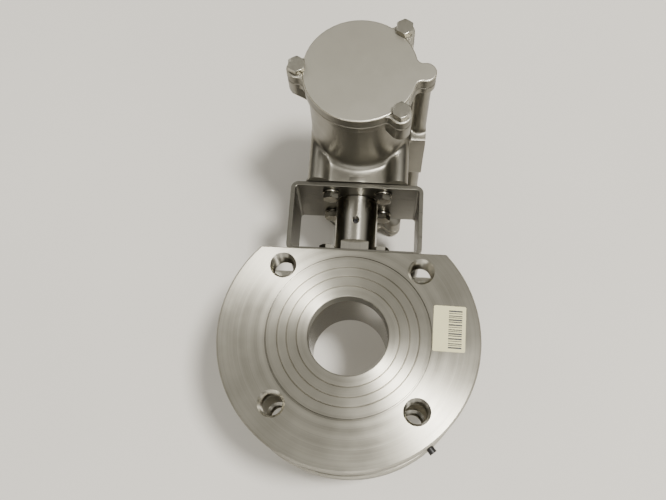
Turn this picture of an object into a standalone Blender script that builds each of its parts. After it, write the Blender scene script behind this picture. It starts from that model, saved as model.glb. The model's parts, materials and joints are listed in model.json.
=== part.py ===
"""Flanged DN50 ball valve with a mounting bracket and a quarter-turn pneumatic actuator.

All lengths are metres. Everything is modelled in the valve's own frame: the bore runs along Z with the
front gasket face at z = 0, the stem runs along +Y through (0, y, STEM_Z), and +X is to the right.
The empty "valve_frame" then lifts the whole assembly so that the origin is the bottom centre of its box.
The valve is modelled open. The drive turns about the stem, and the two pistons slide along Z.
"""

import math

import bmesh
import bpy
from mathutils import Euler, Matrix, Vector

MM = 0.001
GAP = 0.3 * MM                     # air left between pieces that touch on the real valve
RUNNING_GAP = 0.5 * MM             # air between a turning shaft and the casting round it

# Driving dimensions: flange
BORE_R = 25.0 * MM
MOUTH_R = 30.0 * MM                # flared bore mouth of the rear insert
FACE_TO_FACE = 72.0 * MM
FLANGE_R = 82.5 * MM
RAISED_FACE_R = 51.0 * MM
RAISED_FACE_H = 2.0 * MM
PLATE_T = 17.0 * MM
WAIST_R = 50.0 * MM
EDGE_CHAMFER = 1.2 * MM
BOLT_CIRCLE_R = 62.5 * MM
FLANGE_HOLE_R = 8.0 * MM
TOP_FLAT_Y = 56.5 * MM             # flat on the flange where the bracket stands
RIM_SCREW_ANGLE = math.radians(-50.5)

# Driving dimensions: ball, seats and insert
STEM_Z = -FACE_TO_FACE / 2
BALL_R = 35.0 * MM
SEAT_INNER_R = 26.0 * MM
SEAT_OUTER_R = 32.0 * MM
SEAT_POCKET_R = 32.3 * MM
SEAT_SHELF_Z = STEM_Z + 25.0 * MM
SEAT_POCKET_END_Z = STEM_Z + 17.5 * MM
CHAMBER_R = 36.0 * MM
INSERT_R = 37.7 * MM
INSERT_STEP_Z = STEM_Z - 17.5 * MM

# Driving dimensions: stem and packing
STEM_R = 11.0 * MM
STEM_TOP = 89.0 * MM
SQUARE_HALF = 8.5 * MM             # 17 mm square drive
SQUARE_START = 64.3 * MM
SLOT_FLOOR_Y = 29.5 * MM
SLOT_HALF = 5.0 * MM
COLLAR_R = 13.4 * MM
SHOULDER_Y = 41.5 * MM
PACKING_R = 15.8 * MM
PACKING_FLOOR_Y = 43.5 * MM
GLAND_NUT_R = 15.6 * MM            # across corners / 2, for 27 mm across flats
GLAND_NUT_H = 5.3 * MM

# Driving dimensions: bracket and coupling
BRACKET_HALF_X = 44.5 * MM
BRACKET_HALF_Z = 27.4 * MM
BRACKET_T = 3.0 * MM
BRACKET_BOTTOM = TOP_FLAT_Y + GAP
BRACKET_TOP = 106.4 * MM
GLAND_HOLE_R = 17.5 * MM
SHAFT_HOLE_R = 15.5 * MM
COUPLING_R = 14.5 * MM
COUPLING_BOTTOM = 64.8 * MM
COUPLING_TOP = 104.0 * MM
COUPLING_FLAT_HALF = 11.1 * MM     # two milled spanner flats at the coupling's lower end
COUPLING_FLAT_H = 6.4 * MM
SET_SCREW_Y = 85.2 * MM
PATTERN_HALF = 17.7 * MM           # four M6 bolts on a 50 mm circle

# Driving dimensions: actuator housing and caps
BARREL_Y = 151.3 * MM
BARREL_R = 33.4 * MM
CYLINDER_R = 28.0 * MM
HALF_BARREL = 87.5 * MM
CAP_R = 35.7 * MM
CAP_T = 9.0 * MM
CAP_GROOVE_R = 24.9 * MM
LOBE_R = 6.6 * MM
LOBE_LENGTH = 13.0 * MM
LOBE_CENTRE = 38.9 * MM
LOBE_ANGLES = (48.0, 180.0, -48.0)
PORT_LOBE_CENTRE = 40.1 * MM
PAD_FACE_X = 44.8 * MM
BASE_TOP = BRACKET_TOP + GAP
BASE_PAD_R = 29.5 * MM
BASE_PAD_T = 3.4 * MM
COLUMN_R = 5.2 * MM
COLUMN_HALF = 25.4 * MM            # centre of each corner column from the stem axis
WEB_HALF_X = 29.0 * MM
WEB_HALF_Z = 19.0 * MM
BOSS_R = 17.5 * MM
BOSS_TOP = BARREL_Y + 35.5 * MM

# Driving dimensions: pinion shaft and bushes
SHAFT_TOP = BARREL_Y + 47.5 * MM
UPPER_JOURNAL_R = 8.5 * MM
UPPER_POCKET_R = 11.6 * MM
UPPER_BUSH_LOW = BARREL_Y + 27.5 * MM
UPPER_SEAL_LOW = BOSS_TOP - 2.2 * MM
THRUST_WASHER_R = 13.0 * MM
CLIP_GROOVE_LOW = BOSS_TOP + 1.5 * MM
CLIP_GROOVE_H = 1.5 * MM
CLIP_R = 11.5 * MM
INDICATOR_LOW = BOSS_TOP + 3.6 * MM
INDICATOR_R = 16.0 * MM
BUSH_POCKET_R = 13.9 * MM
BUSH_POCKET_TOP = BASE_TOP + 11.4 * MM
LOWER_BUSH_TOP = BASE_TOP + 8.4 * MM

# Driving dimensions: rack and pinion, module 1.25
PITCH_R = 10.0 * MM
PINION_TEETH = 16
PINION_HALF = 9.0 * MM
PRESSURE_ANGLE = math.radians(20)
TOOTH_PITCH = 2 * math.pi * PITCH_R / PINION_TEETH
ADDENDUM = 1.0 * MM
DEDENDUM = 1.3 * MM
BACKLASH = 0.5 * MM                # total play along the pitch line, which keeps the teeth apart
RACK_TEETH = 8
RACK_BACK_X = 21.0 * MM
RACK_HALF_Y = 7.0 * MM
RACK_TIP_Z = -7.0 * MM
PISTON_R = CYLINDER_R - 0.5 * MM
PISTON_OUT = HALF_BARREL - 4.5 * MM
PISTON_T = 12.0 * MM
GUIDE_PAD_R = 26.6 * MM
QUARTER_TURN = math.pi / 2

# Fasteners: M6 hexagon bolts
BOLT_SHANK_R = 2.9 * MM
BOLT_HEAD_R = 5.77 * MM            # across corners / 2, for 10 mm across flats
BOLT_HEAD_H = 4.0 * MM
BOLT_HOLE_R = 3.4 * MM
TAPPED_HOLE_R = 3.2 * MM
WASHER_R = 6.0 * MM
WASHER_T = 1.2 * MM

# Facets round a full turn
LARGE = 36
MEDIUM = 24
SMALL = 16
TINY = 8

MERGE = 0.00001

HIGHEST_Z = HALF_BARREL + CAP_T + GAP + BOLT_HEAD_H
FRAME_SHIFT = Vector((0, (FLANGE_R - SHAFT_TOP) / 2, HIGHEST_Z - STEM_Z))

COLOURS = {
    "machined_steel": ((0.40, 0.39, 0.35), 0.34, 1.0),
    "cast_steel": ((0.36, 0.34, 0.30), 0.48, 1.0),
    "bracket_steel": ((0.42, 0.41, 0.37), 0.40, 1.0),
    "bright_steel": ((0.55, 0.54, 0.50), 0.22, 1.0),
    "seat_plastic": ((0.82, 0.81, 0.77), 0.45, 0.0),
    "graphite": ((0.06, 0.06, 0.06), 0.60, 0.0),
    "black_oxide": ((0.03, 0.03, 0.03), 0.45, 0.6),
    "piston_metal": ((0.62, 0.63, 0.65), 0.38, 1.0),
    "seal_rubber": ((0.02, 0.02, 0.02), 0.70, 0.0),
    "bearing_plastic": ((0.75, 0.72, 0.60), 0.50, 0.0),
    "spring_steel": ((0.30, 0.30, 0.31), 0.35, 1.0),
    "indicator_plastic": ((0.75, 0.55, 0.05), 0.45, 0.0),
}


# ---------------------------------------------------------------- scene set-up

def clear_scene():
    for obj in list(bpy.data.objects):
        bpy.data.objects.remove(obj, do_unlink=True)


def new_collection(name):
    collection = bpy.data.collections.new(name)
    bpy.context.scene.collection.children.link(collection)
    return collection


def new_material(name):
    colour, roughness, metallic = COLOURS[name]
    material = bpy.data.materials.new(name)
    material.use_nodes = True
    shader = material.node_tree.nodes["Principled BSDF"]
    shader.inputs["Base Color"].default_value = (*colour, 1.0)
    shader.inputs["Roughness"].default_value = roughness
    shader.inputs["Metallic"].default_value = metallic
    return material


def new_empty(name, parent, location, rotation=(0, 0, 0)):
    empty = bpy.data.objects.new(name, None)
    PARTS.objects.link(empty)
    empty.parent = parent
    empty.location = location
    empty.rotation_euler = rotation
    return empty


clear_scene()
PARTS = new_collection("ball_valve")
CUTTERS = new_collection("cutters")
MATERIALS = {name: new_material(name) for name in COLOURS}
FRAME = new_empty("valve_frame", None, FRAME_SHIFT)
DRIVE = new_empty("drive_axis", FRAME, (0, 0, STEM_Z))
ACTUATOR = new_empty("actuator_centre", FRAME, (0, BARREL_Y, STEM_Z))
FRONT_SIDE = new_empty("front_piston_axis", ACTUATOR, (0, 0, 0))
REAR_SIDE = new_empty("rear_piston_axis", ACTUATOR, (0, 0, 0), (0, math.pi, 0))
REAR_CAP_SIDE = new_empty("rear_cap_side", ACTUATOR, (0, 0, 0), (math.pi, 0, 0))

ALONG_Y = (-math.pi / 2, 0, 0)     # turns a shape made about Z so that its Z points along +Y
ALONG_Z = (0, 0, 0)


# ---------------------------------------------------------------- shapes

def add_object(name, mesh, parent, rotation=(0, 0, 0), material=None):
    """Link a mesh as a part when it has a material, otherwise as a cutter."""
    obj = bpy.data.objects.new(name, mesh)
    obj.parent = parent
    obj.rotation_euler = rotation
    if material is None:
        CUTTERS.objects.link(obj)
        obj.hide_render = True
        obj.display_type = "WIRE"
    else:
        PARTS.objects.link(obj)
        if not mesh.materials:
            mesh.materials.append(MATERIALS[material])
    return obj


def mesh_from(bm, name):
    mesh = bpy.data.meshes.new(name)
    bm.to_mesh(mesh)
    bm.free()
    return mesh


def turned(name, profile, steps, parent=FRAME, rotation=ALONG_Z, material=None, closed=True):
    """Turn a (radius, height) profile, listed top to bottom down its outer side, about local Z."""
    bm = bmesh.new()
    verts = [bm.verts.new((radius, 0, height)) for radius, height in profile]
    pairs = list(zip(verts, verts[1:]))
    if closed:
        pairs.append((verts[-1], verts[0]))
    for pair in pairs:
        bm.edges.new(pair)
    obj = add_object(name, mesh_from(bm, name), parent, rotation, material)
    screw = obj.modifiers.new("turn", "SCREW")
    screw.steps = steps
    screw.render_steps = steps
    screw.use_merge_vertices = True
    screw.merge_threshold = MERGE
    return obj


def ring_profile(inner, outer, low, high):
    return [(inner, high), (outer, high), (outer, low), (inner, low)]


def ring(name, inner, outer, low, high, steps, **placing):
    return turned(name, ring_profile(inner, outer, low, high), steps, **placing)


def cylinder_mesh(name, radius, low, high, steps, centre=(0, 0)):
    bm = bmesh.new()
    place = Matrix.Translation((centre[0], centre[1], (low + high) / 2))
    bmesh.ops.create_cone(bm, cap_ends=True, segments=steps, radius1=radius, radius2=radius,
                          depth=high - low, matrix=place)
    return mesh_from(bm, name)


def cylinder(name, radius, low, high, steps, centre=(0, 0), parent=FRAME, rotation=ALONG_Z, material=None):
    mesh = cylinder_mesh(name, radius, low, high, steps, centre)
    return add_object(name, mesh, parent, rotation, material)


def box(name, low, high, parent=FRAME, material=None):
    bm = bmesh.new()
    low = Vector(low)
    high = Vector(high)
    place = Matrix.Translation((low + high) / 2) @ Matrix.Diagonal((*(high - low), 1))
    bmesh.ops.create_cube(bm, size=1, matrix=place)
    return add_object(name, mesh_from(bm, name), parent, (0, 0, 0), material)


def boolean(target, other, operation):
    modifier = target.modifiers.new(other.name, "BOOLEAN")
    modifier.operation = operation
    modifier.solver = "EXACT"
    modifier.object = other


def cut(target, *cutters):
    for cutter in cutters:
        boolean(target, cutter, "DIFFERENCE")


def join(target, *additions):
    for addition in additions:
        boolean(target, addition, "UNION")


def square_corners(half):
    return [(sx * half, sy * half) for sx in (-1, 1) for sy in (-1, 1)]


def copies(mesh, places, name):
    """One mesh that holds a copy of another at each (x, y), as separate closed bodies."""
    bm = bmesh.new()
    for x, y in places:
        start = len(bm.verts)
        bm.from_mesh(mesh)
        bm.verts.ensure_lookup_table()
        bmesh.ops.translate(bm, verts=bm.verts[start:], vec=(x, y, 0))
    return mesh_from(bm, name)


def repeat(name, mesh, places, parent, rotation, material):
    """Separate objects that share one mesh, one at each (x, y) of the rotated frame."""
    turn = Euler(rotation).to_matrix()
    for index, (x, y) in enumerate(places, start=1):
        obj = add_object(f"{name}_{index}", mesh, parent, rotation, material)
        obj.location = turn @ Vector((x, y, 0))


def evaluated_mesh(obj):
    """The object's shape with its modifiers applied, as a mesh of its own."""
    return bpy.data.meshes.new_from_object(obj.evaluated_get(bpy.context.evaluated_depsgraph_get()))


def bolt_mesh(name, shank_low, shank_high, head_low, head_high):
    """A hexagon bolt along Z: its shank and head are joined into one closed body."""
    shank = add_object(name + "_shank", cylinder_mesh(name, BOLT_SHANK_R, shank_low, shank_high, TINY),
                       None)
    head = add_object(name + "_head", cylinder_mesh(name, BOLT_HEAD_R, head_low, head_high, 6), None)
    join(head, shank)
    mesh = evaluated_mesh(head)
    for scrap in (head, shank):
        bpy.data.objects.remove(scrap, do_unlink=True)
    return mesh


def arc_points(radius, centre_z, start_r, end_r, count):
    """Points on a sphere's front half, as (radius from its axis, z), from start_r to end_r."""
    first = math.asin(start_r / radius)
    last = math.asin(end_r / radius)
    angles = [first + (last - first) * i / count for i in range(count + 1)]
    return [(radius * math.sin(a), centre_z + radius * math.cos(a)) for a in angles]


# ---------------------------------------------------------------- valve body

def valve_body():
    front = -RAISED_FACE_H
    mid_front = front - PLATE_T
    half = [
        (0, 0),
        (RAISED_FACE_R, 0),
        (RAISED_FACE_R, front),
        (FLANGE_R - EDGE_CHAMFER, front),
        (FLANGE_R, front - EDGE_CHAMFER),
        (FLANGE_R, mid_front + EDGE_CHAMFER),
        (FLANGE_R - EDGE_CHAMFER, mid_front),
        (WAIST_R, mid_front),
    ]
    mirrored = [(radius, 2 * STEM_Z - z) for radius, z in reversed(half)]
    body = turned("valve_body", half + mirrored, LARGE, material="machined_steel", closed=False)

    boss_half_x = 24.0 * MM
    boss_overlap = 1.0 * MM
    boss = box("boss_between_plates", (-boss_half_x, 0, 2 * STEM_Z - mid_front - boss_overlap),
               (boss_half_x, TOP_FLAT_Y + boss_overlap, mid_front + boss_overlap))
    join(body, boss)
    reach = 2 * FLANGE_R
    cut(body, box("top_flat_cut", (-reach, TOP_FLAT_Y, -reach), (reach, reach, reach)))
    cut(body, turned("cavity_cut", cavity_profile(), LARGE, closed=False))
    cut(body, turned("stem_bore_cut", stem_bore_profile(), SMALL, parent=DRIVE, rotation=ALONG_Y,
                     closed=False))
    beyond = 2.0 * MM
    corner = BOLT_CIRCLE_R / math.sqrt(2)
    flange_holes = cylinder_mesh("flange_hole", FLANGE_HOLE_R, -FACE_TO_FACE - beyond, beyond, SMALL)
    cut(body, add_object("flange_hole_cut", copies(flange_holes, square_corners(corner), "flange_hole_cut"),
                         FRAME))
    depth = 12.0 * MM
    tapped = cylinder_mesh("bracket_tap", TAPPED_HOLE_R, TOP_FLAT_Y - depth, TOP_FLAT_Y + beyond, TINY)
    cut(body, add_object("bracket_tap_cut", copies(tapped, square_corners(PATTERN_HALF), "bracket_tap_cut"),
                         DRIVE, ALONG_Y))
    screw_hole_r = 1.9 * MM
    screw_hole = cylinder("rim_screw_cut", screw_hole_r, FLANGE_R - 8.0 * MM, FLANGE_R + beyond, TINY)
    place_rim_screw(screw_hole)
    cut(body, screw_hole)


def cavity_profile():
    """Bore mouth, front seat pocket, ball chamber and the wider pocket of the rear insert."""
    beyond = 1.0 * MM
    return [
        (0, beyond),
        (BORE_R + 2 * beyond, beyond),
        (BORE_R, -beyond),
        (BORE_R, SEAT_SHELF_Z),
        (SEAT_POCKET_R, SEAT_SHELF_Z),
        (SEAT_POCKET_R, SEAT_POCKET_END_Z),
        (CHAMBER_R, SEAT_POCKET_END_Z),
        (CHAMBER_R, INSERT_STEP_Z),
        (INSERT_R + GAP, INSERT_STEP_Z),
        (INSERT_R + GAP, -FACE_TO_FACE - beyond),
        (0, -FACE_TO_FACE - beyond),
    ]


def stem_bore_profile():
    """Packing chamber on top, a neck, and the pocket that holds the stem's collar, open to the ball."""
    pocket_r = COLLAR_R + 2 * GAP
    neck_r = STEM_R + RUNNING_GAP
    above = TOP_FLAT_Y + 2.0 * MM
    inside_chamber = CHAMBER_R - STEM_R
    return [
        (0, above),
        (PACKING_R, above),
        (PACKING_R, PACKING_FLOOR_Y),
        (neck_r, PACKING_FLOOR_Y),
        (neck_r, SHOULDER_Y),
        (pocket_r, SHOULDER_Y),
        (pocket_r, inside_chamber),
        (0, inside_chamber),
    ]


def place_rim_screw(obj):
    """The screw stands radially out of the front plate's rim, low on its right side."""
    outward = Vector((math.cos(RIM_SCREW_ANGLE), math.sin(RIM_SCREW_ANGLE), 0))
    obj.rotation_euler = outward.to_track_quat("Z", "Y").to_euler()
    obj.location = (0, 0, -RAISED_FACE_H - PLATE_T / 2)


def rim_screw():
    head_r = 2.4 * MM
    head_top = FLANGE_R + 4.2 * MM
    edge = 0.6 * MM
    shank_r = 1.5 * MM
    shank_end = FLANGE_R - 7.0 * MM
    screw = turned("earth_screw", [
        (0, head_top),
        (head_r - edge, head_top),
        (head_r, head_top - edge),
        (head_r, FLANGE_R + GAP),
        (shank_r, FLANGE_R + GAP),
        (shank_r, shank_end),
        (0, shank_end),
    ], TINY, material="black_oxide", closed=False)
    place_rim_screw(screw)


def seats_and_insert():
    clearance_r = BALL_R + GAP
    contact = arc_points(clearance_r, STEM_Z, SEAT_OUTER_R, SEAT_INNER_R, 4)
    front_back = SEAT_SHELF_Z - GAP
    front_profile = [(SEAT_INNER_R, front_back), (SEAT_OUTER_R, front_back)] + contact
    turned("front_seat", front_profile, LARGE, material="seat_plastic")
    rear_profile = [(radius, 2 * STEM_Z - z) for radius, z in reversed(front_profile)]
    turned("rear_seat", rear_profile, LARGE, material="seat_plastic")

    ring("body_seal", CHAMBER_R + GAP, INSERT_R, INSERT_STEP_Z - 1.8 * MM, INSERT_STEP_Z - GAP, LARGE,
         material="graphite")
    insert_front = INSERT_STEP_Z - 2.1 * MM
    shelf = 2 * STEM_Z - SEAT_SHELF_Z
    edge = 1.0 * MM
    insert = turned("seat_retainer", [
        (SEAT_POCKET_R, insert_front),
        (INSERT_R, insert_front),
        (INSERT_R, -FACE_TO_FACE),
        (MOUTH_R, -FACE_TO_FACE),
        (SEAT_INNER_R, shelf - edge),
        (SEAT_INNER_R, shelf),
        (SEAT_POCKET_R, shelf),
    ], LARGE, material="machined_steel")
    spanner_hole = cylinder_mesh("spanner_hole", 2.2 * MM, -FACE_TO_FACE - edge, -FACE_TO_FACE + 3.0 * MM,
                                 TINY)
    spanner_x = (MOUTH_R + INSERT_R) / 2
    cut(insert, add_object("spanner_hole_cut", copies(spanner_hole, [(-spanner_x, 0), (spanner_x, 0)],
                                                      "spanner_hole_cut"), FRAME))


# ---------------------------------------------------------------- ball, stem and packing

def ball():
    arc_count = 12
    half_angle = math.acos(BORE_R / BALL_R)
    angles = [half_angle * (1 - 2 * i / arc_count) for i in range(arc_count + 1)]
    outer = [(BALL_R * math.cos(a), BALL_R * math.sin(a)) for a in angles]
    sphere = turned("ball", outer, MEDIUM, parent=DRIVE, material="bright_steel")
    above = BALL_R + SLOT_HALF
    cut(sphere, box("ball_slot_cut", (-BALL_R, SLOT_FLOOR_Y, -SLOT_HALF), (BALL_R, above, SLOT_HALF),
                    parent=DRIVE))


def square_flats(name, low, high):
    """Cutter that leaves a square drive between two heights: a block with a square hole."""
    outer = STEM_R + 4.0 * MM
    block = box(name, (-outer, low, -outer), (outer, high, outer), parent=DRIVE)
    beyond = 1.0 * MM
    cut(block, box(name + "_core", (-SQUARE_HALF, low - beyond, -SQUARE_HALF),
                   (SQUARE_HALF, high + beyond, SQUARE_HALF), parent=DRIVE))
    return block


def stem():
    collar_bottom = BALL_R + 2 * GAP
    collar_top = SHOULDER_Y - 1.9 * MM
    spindle = turned("stem", [
        (0, STEM_TOP),
        (STEM_R - 0.6 * MM, STEM_TOP),
        (STEM_R, STEM_TOP - 0.6 * MM),
        (STEM_R, collar_top),
        (COLLAR_R, collar_top),
        (COLLAR_R, collar_bottom),
        (0, collar_bottom),
    ], SMALL, parent=DRIVE, rotation=ALONG_Y, material="machined_steel", closed=False)
    tang_half_x = 9.5 * MM
    tang_half_z = SLOT_HALF - GAP
    join(spindle, box("stem_tang", (-tang_half_x, SLOT_FLOOR_Y + GAP, -tang_half_z),
                      (tang_half_x, collar_bottom + 1.0 * MM, tang_half_z), parent=DRIVE))
    cut(spindle, square_flats("stem_flats", SQUARE_START, STEM_TOP + 1.0 * MM))


def packing_stack():
    along = {"parent": DRIVE, "rotation": ALONG_Y}
    inner = STEM_R + GAP
    outer = PACKING_R - GAP
    ring("stem_thrust_washer", inner, COLLAR_R + 0.2 * MM, SHOULDER_Y - 1.6 * MM, SHOULDER_Y - GAP, SMALL,
         material="seat_plastic", **along)
    base = PACKING_FLOOR_Y + GAP
    packing_top = base + 6.3 * MM
    vee = 1.2 * MM
    turned("stem_packing", [
        (inner, packing_top),
        ((inner + outer) / 2, packing_top - vee),
        (outer, packing_top),
        (outer, base),
        (inner, base),
    ], SMALL, material="graphite", **along)
    follower_low = packing_top + GAP
    follower_high = follower_low + 3.4 * MM
    ring("gland_follower", inner, outer, follower_low, follower_high, SMALL, material="bright_steel", **along)
    disc_springs(follower_high + GAP, inner, outer)
    spring_space = 5.0 * MM
    nut_low = follower_high + spring_space
    nut_high = nut_low + GLAND_NUT_H
    nut = cylinder("gland_nut", GLAND_NUT_R, nut_low, nut_high, 6, material="black_oxide", **along)
    cut(nut, cylinder("gland_nut_cut", inner, nut_low - MM, nut_high + MM, SMALL, **along))


def disc_springs(low, inner, outer):
    """Two coned washers stacked back to back."""
    thick = 1.0 * MM
    rise = 1.0 * MM
    lower = [(inner, low + rise + thick), (outer, low + thick), (outer, low), (inner, low + rise)]
    upper_low = low + rise + thick + GAP
    upper = [(inner, upper_low + thick), (outer, upper_low + rise + thick), (outer, upper_low + rise),
             (inner, upper_low)]
    for name, profile in (("lower_disc_spring", lower), ("upper_disc_spring", upper)):
        turned(name, profile, SMALL, parent=DRIVE, rotation=ALONG_Y, material="spring_steel")


# ---------------------------------------------------------------- bracket and coupling

def rounded_rectangle(half_x, low_y, high_y, radius, count=4):
    """Corner arcs of an upright rectangle, anticlockwise."""
    corners = [(half_x - radius, high_y - radius, 0), (radius - half_x, high_y - radius, 1),
               (radius - half_x, low_y + radius, 2), (half_x - radius, low_y + radius, 3)]
    points = []
    for centre_x, centre_y, quarter in corners:
        for i in range(count + 1):
            angle = QUARTER_TURN * (quarter + i / count)
            points.append((centre_x + radius * math.cos(angle), centre_y + radius * math.sin(angle)))
    return points


def outline_mesh(name, outlines, half_thickness):
    """Extrude closed outlines both ways along Z; an outline inside another is a hole."""
    curve = bpy.data.curves.new(name, "CURVE")
    curve.dimensions = "2D"
    curve.fill_mode = "BOTH"
    curve.extrude = half_thickness
    for outline in outlines:
        spline = curve.splines.new("POLY")
        spline.points.add(len(outline) - 1)
        for point, (x, y) in zip(spline.points, outline):
            point.co = (x, y, 0, 1)
        spline.use_cyclic_u = True
    obj = bpy.data.objects.new(name, curve)
    CUTTERS.objects.link(obj)
    mesh = evaluated_mesh(obj)
    bpy.data.objects.remove(obj, do_unlink=True)
    bm = bmesh.new()
    bm.from_mesh(mesh)
    bmesh.ops.remove_doubles(bm, verts=bm.verts, dist=MERGE)
    bmesh.ops.recalc_face_normals(bm, faces=bm.faces)
    return mesh_from(bm, name)


def bracket():
    outer_bend = 5.0 * MM
    outer = rounded_rectangle(BRACKET_HALF_X, BRACKET_BOTTOM, BRACKET_TOP, outer_bend)
    inner = rounded_rectangle(BRACKET_HALF_X - BRACKET_T, BRACKET_BOTTOM + BRACKET_T,
                              BRACKET_TOP - BRACKET_T, outer_bend - BRACKET_T)
    mesh = outline_mesh("mounting_bracket", [outer, inner], BRACKET_HALF_Z)
    frame = add_object("mounting_bracket", mesh, DRIVE, material="bracket_steel")
    beyond = 1.0 * MM
    spans = {"lower": (BRACKET_BOTTOM - beyond, BRACKET_BOTTOM + BRACKET_T + beyond, GLAND_HOLE_R),
             "upper": (BRACKET_TOP - BRACKET_T - beyond, BRACKET_TOP + beyond, SHAFT_HOLE_R)}
    for level, (low, high, hole_r) in spans.items():
        holes = cylinder_mesh(level, BOLT_HOLE_R, low, high, TINY)
        name = level + "_bracket_bolt_cut"
        cut(frame, cylinder(level + "_bracket_hole_cut", hole_r, low, high, MEDIUM, parent=DRIVE,
                            rotation=ALONG_Y))
        cut(frame, add_object(name, copies(holes, square_corners(PATTERN_HALF), name), DRIVE, ALONG_Y))


def washer_mesh(low):
    washer = turned("washer", ring_profile(BOLT_SHANK_R + GAP, WASHER_R, low, low + WASHER_T), TINY)
    mesh = evaluated_mesh(washer)
    bpy.data.objects.remove(washer, do_unlink=True)
    return mesh


def bracket_fasteners():
    head_low = BRACKET_BOTTOM + BRACKET_T + GAP
    shank_length = 15.0 * MM
    lower = bolt_mesh("lower_bolt", head_low - shank_length, head_low + MM, head_low, head_low + BOLT_HEAD_H)
    ceiling = BRACKET_TOP - BRACKET_T
    head_high = ceiling - WASHER_T - 2 * GAP
    upper = bolt_mesh("upper_bolt", head_high - MM, head_high + 14.0 * MM, head_high - BOLT_HEAD_H, head_high)
    groups = {
        "lower_bracket_bolt": lower,
        "upper_bracket_bolt": upper,
        "upper_bracket_washer": washer_mesh(ceiling - GAP - WASHER_T),
    }
    for name, mesh in groups.items():
        repeat(name, mesh, square_corners(PATTERN_HALF), DRIVE, ALONG_Y, "bright_steel")


def coupling():
    edge = 0.8 * MM
    sleeve = turned("coupling", [
        (0, COUPLING_TOP),
        (COUPLING_R - edge, COUPLING_TOP),
        (COUPLING_R, COUPLING_TOP - edge),
        (COUPLING_R, COUPLING_BOTTOM + edge),
        (COUPLING_R - edge, COUPLING_BOTTOM),
        (0, COUPLING_BOTTOM),
    ], MEDIUM, parent=DRIVE, rotation=ALONG_Y, material="bright_steel", closed=False)
    socket = SQUARE_HALF + GAP
    beyond = 1.0 * MM
    square = box("coupling_square_cut", (-socket, COUPLING_BOTTOM - beyond, -socket),
                 (socket, COUPLING_TOP + beyond, socket), parent=DRIVE)
    cut(sleeve, square)
    for side, sign in (("front", 1), ("rear", -1)):
        depths = sorted((sign * COUPLING_FLAT_HALF, sign * 2 * COUPLING_R))
        cut(sleeve, box(f"coupling_{side}_flat_cut", (-2 * COUPLING_R, COUPLING_BOTTOM - beyond, depths[0]),
                        (2 * COUPLING_R, COUPLING_BOTTOM + COUPLING_FLAT_H, depths[1]), parent=DRIVE))
    hole_r = 2.3 * MM
    cross = cylinder("set_screw_cut", hole_r, SQUARE_HALF - MM, COUPLING_R + MM, TINY, parent=DRIVE)
    cross.location = (0, SET_SCREW_Y, 0)
    cut(sleeve, cross)
    screw = cylinder("coupling_set_screw", hole_r - GAP, SQUARE_HALF + 0.2 * MM, COUPLING_R - 1.5 * MM, TINY,
                     parent=DRIVE, material="black_oxide")
    screw.location = (0, SET_SCREW_Y, 0)


# ---------------------------------------------------------------- actuator housing

def lobe_places():
    return [(LOBE_CENTRE * math.cos(math.radians(a)), LOBE_CENTRE * math.sin(math.radians(a)))
            for a in LOBE_ANGLES]


def barrel_profile():
    """Outside of the barrel about local Z, with a wider lip at each end."""
    lip = 6.0 * MM
    blend = 2.5 * MM
    top = [(0, HALF_BARREL), (CAP_R, HALF_BARREL), (CAP_R, HALF_BARREL - lip + blend),
           (BARREL_R, HALF_BARREL - lip)]
    return top + [(radius, -z) for radius, z in reversed(top)]


def both_ends(name, mesh):
    """Two objects from one mesh: at the front end, and turned over for the rear end."""
    return [add_object(name + "_front", mesh, ACTUATOR), add_object(name + "_rear", mesh, REAR_CAP_SIDE)]


def actuator_housing():
    housing = turned("actuator_housing", barrel_profile(), LARGE, parent=ACTUATOR, material="cast_steel",
                     closed=False)
    lobes = copies(cylinder_mesh("lobe", LOBE_R, HALF_BARREL - LOBE_LENGTH, HALF_BARREL, SMALL),
                   lobe_places(), "bolt_lobes")
    port_lobe_length = 6.0 * MM
    port_lobe = cylinder_mesh("port_lobe", LOBE_R, HALF_BARREL - port_lobe_length, HALF_BARREL, SMALL,
                              (PORT_LOBE_CENTRE, 0))
    join(housing, *both_ends("bolt_lobes", lobes), *both_ends("port_lobe", port_lobe))

    rod_r = 4.5 * MM
    inset = 1.0 * MM
    join(housing, cylinder("air_channel_rod", rod_r, inset - HALF_BARREL, HALF_BARREL - inset, TINY,
                           (PORT_LOBE_CENTRE, 0), parent=ACTUATOR))
    web_half = 2.2 * MM
    bite = 3.0 * MM                # how far the web and the pad start inside the barrel's wall
    join(housing, box("air_channel_web", (BARREL_R - bite, -web_half, 2 * inset - HALF_BARREL),
                      (PORT_LOBE_CENTRE, web_half, HALF_BARREL - 2 * inset), parent=ACTUATOR))
    pad_half_y = 10.5 * MM
    pad_half_z = 26.0 * MM
    join(housing, box("port_pad", (BARREL_R - 2 * bite, -pad_half_y, -pad_half_z),
                      (PAD_FACE_X, pad_half_y, pad_half_z), parent=ACTUATOR))

    join(housing, *neck_shapes())
    cut_housing(housing)


def neck_shapes():
    """Web, four corner columns and round pad under the barrel, and the boss above it."""
    column = cylinder_mesh("column", COLUMN_R, BASE_TOP + BASE_PAD_T / 2, BARREL_Y, SMALL)
    columns = add_object("corner_columns", copies(column, square_corners(COLUMN_HALF), "corner_columns"),
                         DRIVE, ALONG_Y)
    web = box("neck_web", (-WEB_HALF_X, BASE_TOP + MM, -WEB_HALF_Z), (WEB_HALF_X, BARREL_Y, WEB_HALF_Z),
              parent=DRIVE)
    pad = cylinder("base_pad", BASE_PAD_R, BASE_TOP, BASE_TOP + BASE_PAD_T, LARGE, parent=DRIVE,
                   rotation=ALONG_Y)
    boss = cylinder("top_boss", BOSS_R, BARREL_Y + MM, BOSS_TOP, MEDIUM, parent=DRIVE, rotation=ALONG_Y)
    return web, columns, pad, boss


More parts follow.
